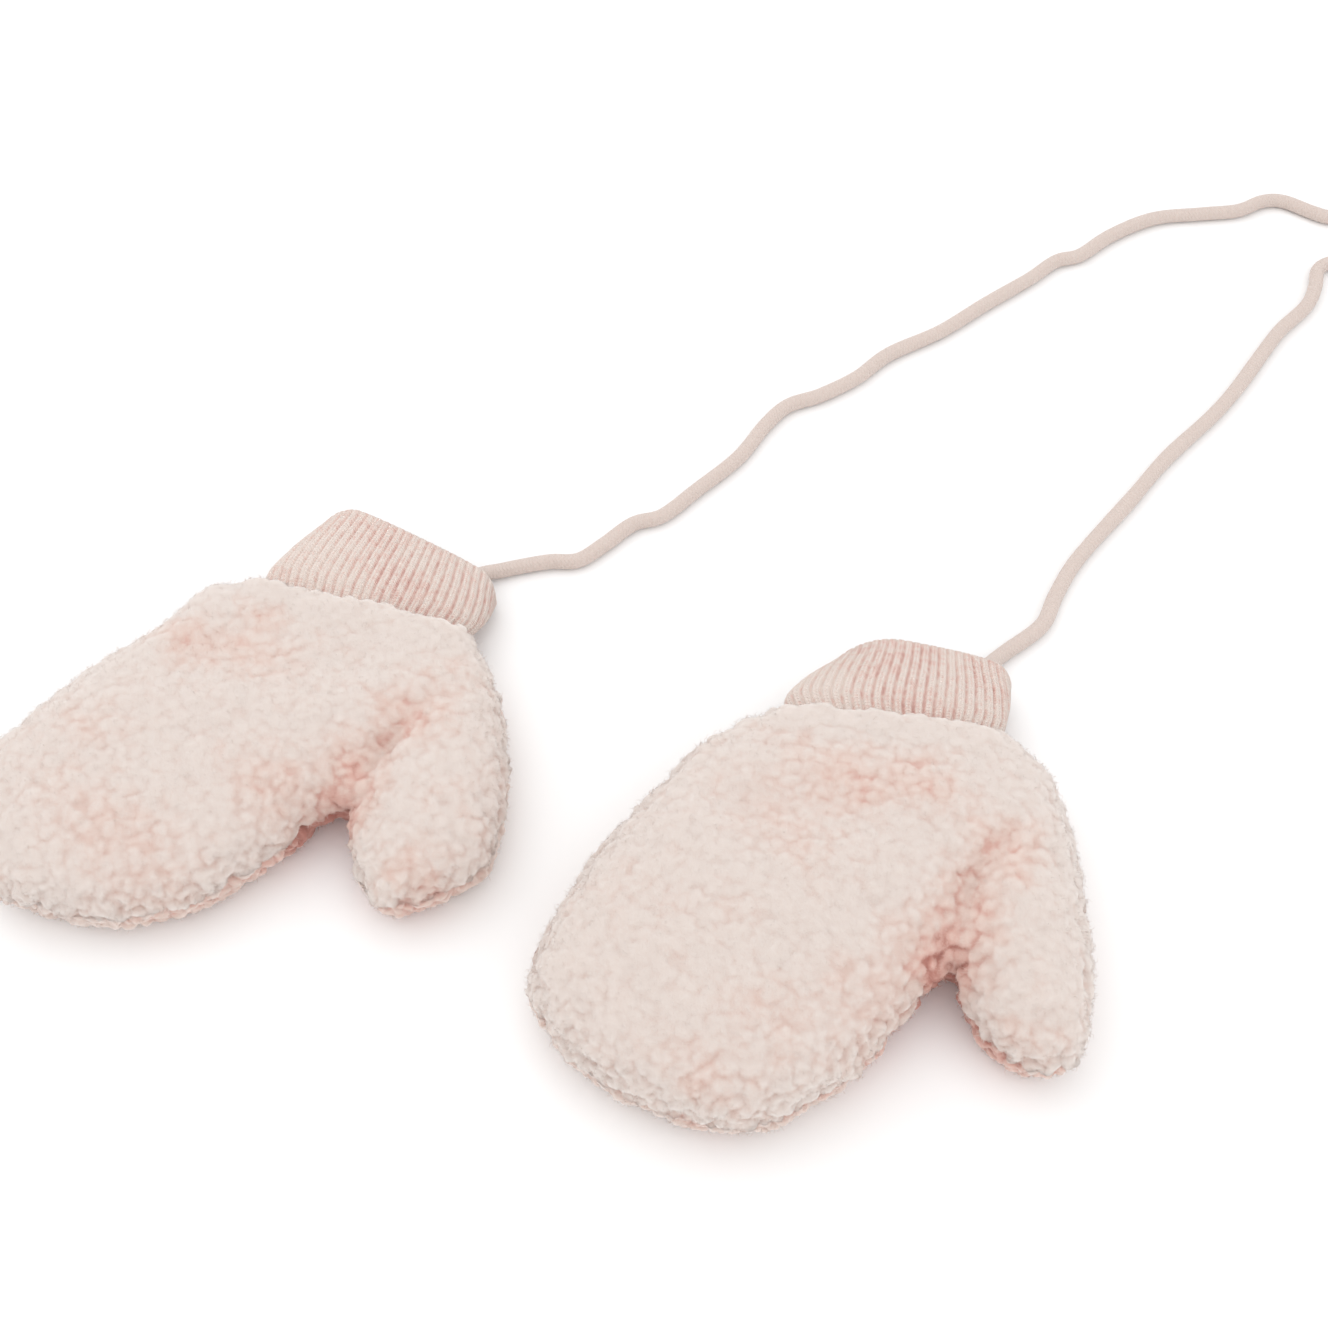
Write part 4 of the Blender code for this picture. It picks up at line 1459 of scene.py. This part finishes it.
    def shade_and_tone(self, points: Array, normal: Array) -> Array:
        """How much pinker each place is: painted shade in the troughs and creases, in the
        crotch and below the seam, painted light on the wrist roll, and random tone in soft
        patches.

        Args:
            points: places in the mitten's frame.
            normal: the smooth form's normals there.

        Returns:
            More than 0 for pinker, less for paler.
        """
        tint, flat = self.tint, points[:, :2]
        # Painted shade in the troughs and painted light over the roll beside the wrist, on
        # upward faces only.
        dip = self.form.trough_depth(flat) - tint.roll * self.form.roll(flat)
        dip = np.clip(tint.trough_per_mm * dip / MM, tint.trough_least, tint.trough_most)
        dip *= normal[:, 2] > 0.0
        square = ((flat / MM - CROTCH) ** 2).sum(axis=1)
        # Painted shade below the seam, where the palm's side faces down.
        from_top = self.form.seam_height + tint.below_from - points[:, 2]
        below = eased(from_top / tint.below_over)
        # Painted shade in the crotch, and below the seam under it.
        dip += tint.crotch * np.exp(-square / tint.crotch_reach_mm ** 2)
        dip += tint.under_crotch * below * np.exp(-square / tint.under_crotch_reach_mm ** 2)
        # Random tone in soft patches.
        patch = soft_noise(points, tint.patch_size, self.seed + 5)[:, 0]
        return dip + tint.level + tint.patch * patch + tint.below * below

    def scattered(self, skin: MeshData, count: int,
                  rng: np.random.Generator) -> tuple[Array, Array, Array, Array]:
        """Random places on the pile, more of them on its tops and steep sides.

        Args:
            skin: the raised pile.
            count: how many places.
            rng: the source of the scatter.

        Returns:
            Places, the normals there, and the pile's painted shade there: how high its colour
            lies and how much pinker it is.
        """
        fibre = self.fibre
        a, b, c = (skin.points[skin.faces[:, k]] for k in range(3))
        height = skin.values["height"][skin.faces].mean(axis=1)
        square = np.cross(b - a, c - a)
        area = np.linalg.norm(square, axis=1)
        steep = 1.0 - np.abs(square[:, 2]) / np.maximum(area, 1e-15)
        area *= (np.maximum(fibre.deep_share + height, fibre.least_share) ** fibre.on_tops
                 * (fibre.on_flat + fibre.on_steep * steep))
        pick = rng.choice(len(area), count, p=area / area.sum())
        corner = skin.faces[pick, 0]
        share = rng.random((count, 2)) * 0.5
        root = a[pick] + (b - a)[pick] * share[:, :1] + (c - a)[pick] * share[:, 1:]
        return root, skin.normals[corner], height[pick], skin.values["shade_and_tone"][corner]

    @staticmethod
    def tangents(normal: Array, rng: np.random.Generator) -> Array:
        """Random unit directions along a surface.

        Args:
            normal: its unit normals, one a row.
            rng: the source of the directions.

        Returns:
            A direction square to each normal.
        """
        random = rng.normal(size=normal.shape)
        flat = random - (random * normal).sum(axis=1)[:, None] * normal
        return flat / np.linalg.norm(flat, axis=1)[:, None]

    def fibres(self, skin: MeshData, count: int) -> MeshData:
        """Short curved fibres that stand out of the pile.

        Args:
            skin: the raised pile, in the mitten's frame.
            count: how many fibres.

        Returns:
            Thin three-sided tubes of quads.
        """
        rng = np.random.default_rng(self.seed + 100 + count)
        root, normal, height, shade_and_tone = self.scattered(skin, count, rng)
        lean = self.tangents(normal, rng)
        across = np.cross(normal, lean)
        fibre = self.fibre
        length = (fibre.length_mm[0] + fibre.length_mm[1] * rng.random(count) ** 2) * MM
        bend = fibre.bend[0] + fibre.bend[1] * rng.random(count)
        width = (fibre.width_mm[0] + fibre.width_mm[1] * rng.random(count)) * MM
        steps, sides = len(fibre.taper) - 1, fibre.sides
        rings, facing = [], []
        for k, share in enumerate(fibre.taper):
            angle = bend * k / steps
            ahead = (np.sin(angle) / bend)[:, None] * normal
            aside = ((1.0 - np.cos(angle)) / bend)[:, None] * lean
            at = root - fibre.rooted * normal + length[:, None] * (ahead + aside)
            out = np.cos(angle)[:, None] * lean - np.sin(angle)[:, None] * normal
            half = (0.5 * width * share)[:, None]
            for j in range(sides):
                way = 2.0 * math.pi * j / sides
                off = math.cos(way) * out + math.sin(way) * across
                rings.append(at + half * off)
                facing.append(fibre.upright * normal + off)
        points = np.stack(rings, axis=1).reshape(-1, 3)
        points[:, 2] = np.maximum(points[:, 2], FLOOR_CLEARANCE)
        each = sides * (steps + 1)
        quad = np.array([[k * sides + j, k * sides + (j + 1) % sides,
                          (k + 1) * sides + (j + 1) % sides, (k + 1) * sides + j]
                         for k in range(steps) for j in range(sides)])
        base = np.arange(count)[:, None, None] * each
        # Painted shade: each fibre takes on the pile's painted shade where it stands.
        shade = fibre.shade[0] + fibre.shade[1] * height
        values = {"height": np.repeat(shade, each), "shade_and_tone": np.repeat(shade_and_tone, each)}
        return MeshData(points, (base + quad).reshape(-1, 4), values,
                        unit(np.stack(facing, axis=1).reshape(-1, 3)))

    def backing(self, panel: Panel) -> tuple[bpy.types.Object, float]:
        """The thin knit backing that carries a panel's pile.

        Args:
            panel: which panel.

        Returns:
            A closed shell, and the area of the panel's cut.
        """
        form = self.form
        up = panel is Panel.BACK
        sign = 1.0 if up else -1.0
        flat, triangles, rim, outward = form.plan(self.backing_edge_step, self.backing_rings,
                                                  self.backing_step)
        sewn = len(outward)
        height = form.back_height if up else form.palm_height
        wall = form.wrist_fleece + (form.fleece - form.wrist_fleece) * form.hand_share(flat)
        edge = form.seam_height + 0.5 * sign * form.gap
        z = np.maximum(sign * np.maximum(sign * height(flat), sign * edge), 0.0)
        z[:sewn] = edge
        reach = self.slope_reach
        slope = [(height(flat + d) - height(flat - d)) / (2 * reach) for d in np.eye(2) * reach]
        normal = np.column_stack([-slope[0] * sign, -slope[1] * sign, np.ones(len(flat))])
        normal[:sewn] = np.column_stack([outward, np.zeros(sewn)])
        normal /= np.linalg.norm(normal, axis=1)[:, None]
        rise = np.where(np.arange(len(flat)) < sewn, 0.0, self.backing_rise)
        layers = []
        for depth in self.backing_depths:
            inner = flat - normal[:, :2] * (depth * wall)[:, None]
            inner_z = z - sign * depth * wall * normal[:, 2]
            least = rise + (1.0 - depth) * self.backing_spread
            inner_z = edge + sign * np.maximum(sign * (inner_z - edge), least)
            over = np.maximum((inner - form.wrist) @ form.out + self.backing_end, 0.0)
            inner -= over[:, None] * form.out
            layers.append(np.column_stack([inner, inner_z]))
        faces = shell_faces(triangles, rim, len(flat))
        if not up:
            faces = [flipped(f) for f in faces]
        cloth = plain_object(f"{self.side}_{panel.value}_backing",
                             form.placed(np.vstack(layers)), faces)
        cloth.data.shade_smooth()
        a, b, c = (np.column_stack([flat, z])[triangles[:, k]] for k in range(3))
        return cloth, float(0.5 * np.linalg.norm(np.cross(b - a, c - a), axis=1).sum())

    def build(self) -> None:
        """Pile, fibres and backing of both panels."""
        work = self.body()
        fine = evaluated(work)
        work.modifiers["fine"].levels = 1
        coarse = evaluated(work)
        bpy.data.objects.remove(work, do_unlink=True)
        raised = self.relief(fine)
        level = fine.points[fine.faces].mean(axis=1)[:, 2]
        low = coarse.points[coarse.faces].mean(axis=1)[:, 2] < self.sole_top
        back = raised.kept(np.flatnonzero(level >= self.form.seam_height))
        edge = raised.kept(np.flatnonzero((level < self.form.seam_height)
                                          & (level > self.edge_bottom)))
        sole = self.relief(coarse).kept(np.flatnonzero(low))
        self.dress(Panel.BACK, back, back, self.back_fibres)
        self.dress(Panel.PALM, edge.joined(sole), edge, self.palm_fibres)

    def dress(self, panel: Panel, skin: MeshData, shown: MeshData, fibres: int) -> None:
        """Makes one panel's pieces and reports them.

        Args:
            panel: which panel.
            skin: its raised pile.
            shown: the stretch of it that fibres stand on.
            fibres: how many fibres.
        """
        node = f"{self.side}_{panel.value}"
        made = []
        for label, mesh, finish in (("pile", skin, PILE),
                                    ("fibres", self.fibres(shown, fibres), FUZZ)):
            placed = MeshData(self.form.placed(mesh.points), mesh.faces, mesh.values,
                              self.form.turned(mesh.normals))
            piece = placed.made(f"{node}_{label}")
            piece.data.materials.append(finish.material())
            made.append(piece)
        cloth, area = self.backing(panel)
        cloth.data.materials.append(BACKING.material())
        for piece in (*made, cloth):
            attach(piece, BODY)
        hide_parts(node)
        [f"{self.side}_palm_panel"] if panel is Panel.BACK else []
        LOG.info("%s: pile and fibres of %s quads, cut %.4f m2", node,
                 [len(piece.data.polygons) for piece in made], area)


@dataclass(frozen=True)
class RibShade:
    """Painted shade: how deep the rib knit's colours lie, as shares of the way from its tops to
    its pits.

    The painted shade in the furrows grows weaker towards the mouth and on the little-finger
    side.
    """

    top: float = 0.72
    furrow: float = 0.70
    column: float = 1.1
    mouth_loss: float = 0.55
    mouth_from: float = 0.7
    mouth_over: float = 0.3
    little_least: float = 0.4
    little_gain: float = 0.6
    little_over: float = 0.9
    fine: float = 0.6
    fine_size: float = 0.9 * MM
    broad: float = 0.25
    broad_size: float = 9.0 * MM


@dataclass
class RibCuff:
    """The rib-knit cuff of one mitten, folded double at its mouth.

    Places along the cuff are shares of the way out, 0 at the wrist seam and 1
    at the mouth, and places across a rib are shares of its width.
    """

    form: MittenForm
    wall: float = 2.2 * MM
    tuck: float = 5.0 * MM
    side_ease: float = 0.6 * MM
    ribs: int = 48
    across_rib: int = 8
    groove: float = 0.7 * MM
    first_point: float = 0.25
    furrow_from: float = 0.50
    furrow_over: float = 0.4
    column_depth: float = 0.25
    column_half: float = 0.09
    slant: float = 1.8
    row_step: float = 0.9 * MM
    inner_rows: int = 14
    fold: float = 1.1 * MM
    fold_steps: int = 8
    power: float = 2.8
    level_run: float = 0.25
    swell: float = 1.5 * MM
    swell_over: float = 0.3
    swell_until: float = 0.5
    swell_loss: float = 0.6
    bulge_over: float = 0.25
    bulge_until: float = 0.3
    bulge_loss_over: float = 0.6
    depth_share: float = 0.6
    tint: RibShade = RibShade()

    def __post_init__(self) -> None:
        """Works out the cuff's length and its base."""
        self.length = float(np.linalg.norm(self.form.mouth - self.form.wrist))
        self.base = self.base_size()

    def base_size(self) -> tuple[float, float, float]:
        """The largest cuff base that clears the fleece.

        Returns:
            Its width, depth and level.
        """
        form = self.form
        width = form.wrist_width - 2.0 * (form.wrist_fleece + form.gap + self.side_ease)
        section, _ = rounded_section(width, 1.0, self.power, 2 * self.ribs)
        middle = np.abs(section[:, 1]) > self.level_run
        points = form.wrist + section[middle, :1] * form.along
        low = np.maximum(form.palm_height(points), 0.0) + form.wrist_fleece
        high = form.back_height(points) - form.wrist_fleece
        half = np.abs(section[middle, 1])
        up = section[middle, 1] > 0.0
        level = 0.5 * (low.max() + high.min())
        room = np.where(up, high - form.gap - level, level - low - form.gap) / half
        return width, float(room.min()), float(level)

    def station(self, t: float) -> tuple[Array, Array, float, float, float]:
        """The cuff's section at a place along it.

        Args:
            t: 0 at the wrist seam, 1 at the mouth.

        Returns:
            Centre, side direction, width, depth and level.
        """
        place, form = self.form.place, self.form
        base_width, base_depth, base_level = self.base
        ease = max(t, 0.0)
        lean = math.radians(place.lean)
        side = form.along * (1.0 - ease) + np.array([math.cos(lean), math.sin(lean)]) * ease
        side /= np.linalg.norm(side)
        centre = form.wrist + (form.mouth - form.wrist) * t
        if t < 0.0:
            centre = form.wrist + form.out * self.length * t
        loss = self.swell_loss * eased((t - self.swell_until) / (1.0 - self.swell_until))
        swell = self.swell * float(eased(t / self.swell_over) * (1.0 - loss))
        loss = eased((t - self.bulge_until) / self.bulge_loss_over)
        bulge = place.little_bulge * MM * float(eased(t / self.bulge_over) * (1.0 - loss))
        centre = centre - 0.5 * bulge * side
        width = base_width + (place.mouth_width * MM - base_width) * ease + 2.0 * swell + bulge
        depth = base_depth + (place.mouth_depth * MM - base_depth) * ease + 2.0 * swell
        level = base_level + (0.5 * place.mouth_depth * MM - base_level) * ease
        return centre, side, width, depth, level

    def corner_fall(self, across: Array) -> Array:
        """How far the mouth's edge falls back.

        Args:
            across: places across the mouth, -1 and 1 being its two corners.

        Returns:
            The fall at each.
        """
        place = self.form.place
        little = np.maximum(-across - place.little_from, 0.0) / (1.0 - place.little_from)
        thumb = np.maximum(across - place.thumb_from, 0.0) / (1.0 - place.thumb_from)
        return (place.little_fall * little ** 2 + place.thumb_fall * thumb ** 2) * MM

    def rows(self) -> list[tuple[float, float, float]]:
        """The rows of points from the wrist to the mouth and back inside.

        Returns:
            Share of the way out, depth below the outer side and how much ribbed, of each.
        """
        start, fold = -self.tuck / self.length, self.fold / self.length
        count = int((1.0 - fold - start) * self.length / self.row_step)
        rows = [(t, 0.0, 1.0) for t in np.linspace(start, 1.0 - fold, count)]
        for angle in np.linspace(0.0, math.pi, self.fold_steps)[1:-1]:
            rows.append((1.0 - fold + fold * math.sin(angle),
                         self.fold * (1.0 - math.cos(angle)), max(0.0, math.cos(angle))))
        rows += [(t, self.wall, 0.0) for t in np.linspace(1.0 - fold, start, self.inner_rows)]
        return rows

    def mesh(self) -> MeshData:
        """The knit tube with its ribs raised.

        Returns:
            The tube's mesh.
        """
        tint = self.tint
        count = self.ribs * self.across_rib
        phase = (np.arange(count) / self.across_rib + self.first_point) % 1.0
        ridge = np.clip(np.abs(phase - 0.5) * 2.0, 0.0, 1.0)
        furrow = eased((ridge - self.furrow_from) / self.furrow_over)
        column = self.column_depth * np.exp(-((phase - 0.5) / self.column_half) ** 2)
        points, heights, alongs = [], [], []
        for t, inward, ribbed in self.rows():
            centre, side, width, depth, level = self.station(t)
            twist = self.form.place.twist * MM * max(t, 0.0)
            section, normal = rounded_section(width - 2 * inward, depth - 2 * inward,
                                              self.power, count, twist)
            section = section - normal * (ribbed * self.groove * (furrow + column))[:, None]
            z = np.maximum(level + section[:, 1], FLOOR_CLEARANCE + inward)
            across = 2.0 * section[:, 0] / width
            back = self.corner_fall(across) * max(t, 0.0) ** 2
            ahead = np.array([-side[1], side[0]])
            points.append(np.column_stack([centre + section[:, :1] * side
                                           - back[:, None] * ahead, z]))
            # Painted shade in the furrows between the ribs and in their columns, weaker towards
            # the mouth and on the little-finger side.
            furrow_shade_share = 1.0 - tint.mouth_loss * eased((t - tint.mouth_from) / tint.mouth_over)
            furrow_shade_share *= tint.little_least + tint.little_gain * eased(
                (across + tint.little_over) / tint.little_over)
            heights.append(tint.top - ribbed * furrow_shade_share * (tint.furrow * furrow
                                                            + tint.column * column))
            alongs.append(np.full(count, (t * self.length + inward) / MM))
        rings = len(points)
        k = np.arange(count)
        around = (k + 1) % count
        r = np.arange(rings)[:, None] * count
        beyond = (np.arange(rings) + 1)[:, None] % rings * count
        faces = np.stack([r + k, beyond + k, beyond + around, r + around], axis=-1)
        points = np.vstack(points)
        # The yarn's random uneven tone.
        uneven = tint.fine * soft_noise(points, tint.fine_size, 7)[:, 0]
        uneven += tint.broad * soft_noise(points, tint.broad_size, 8)[:, 0]
        slant = np.tile(np.abs(phase - 0.5) * self.slant, rings)
        return MeshData(self.form.placed(points), faces.reshape(-1, 4),
                        {"height": np.concatenate(heights), "shade_and_tone": uneven,
                         "along": np.concatenate(alongs), "slant": slant})

    def build(self) -> None:
        """The cuff as one piece."""
        side = self.form.place.side.value
        piece = self.mesh().made(f"{side}_cuff_knit")
        piece.data.materials.append(RIB_KNIT.material())
        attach(piece, BODY)
        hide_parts(f"{side}_cuff")
        LOG.info("%s_cuff_knit: %d faces", side, len(piece.data.polygons))


def main() -> None:
    """Builds the camera, the cord, both mittens and the studio in order."""
    logging.basicConfig(level=logging.INFO, format="%(message)s")
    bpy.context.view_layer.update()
    studio = Studio()
    studio.camera()
    JoiningCord().build()
    for place in PLACES:
        form = MittenForm(place)
        FleeceHand(form).build()
        RibCuff(form).build()
    studio.build()


if __name__ == "__main__":
    main()
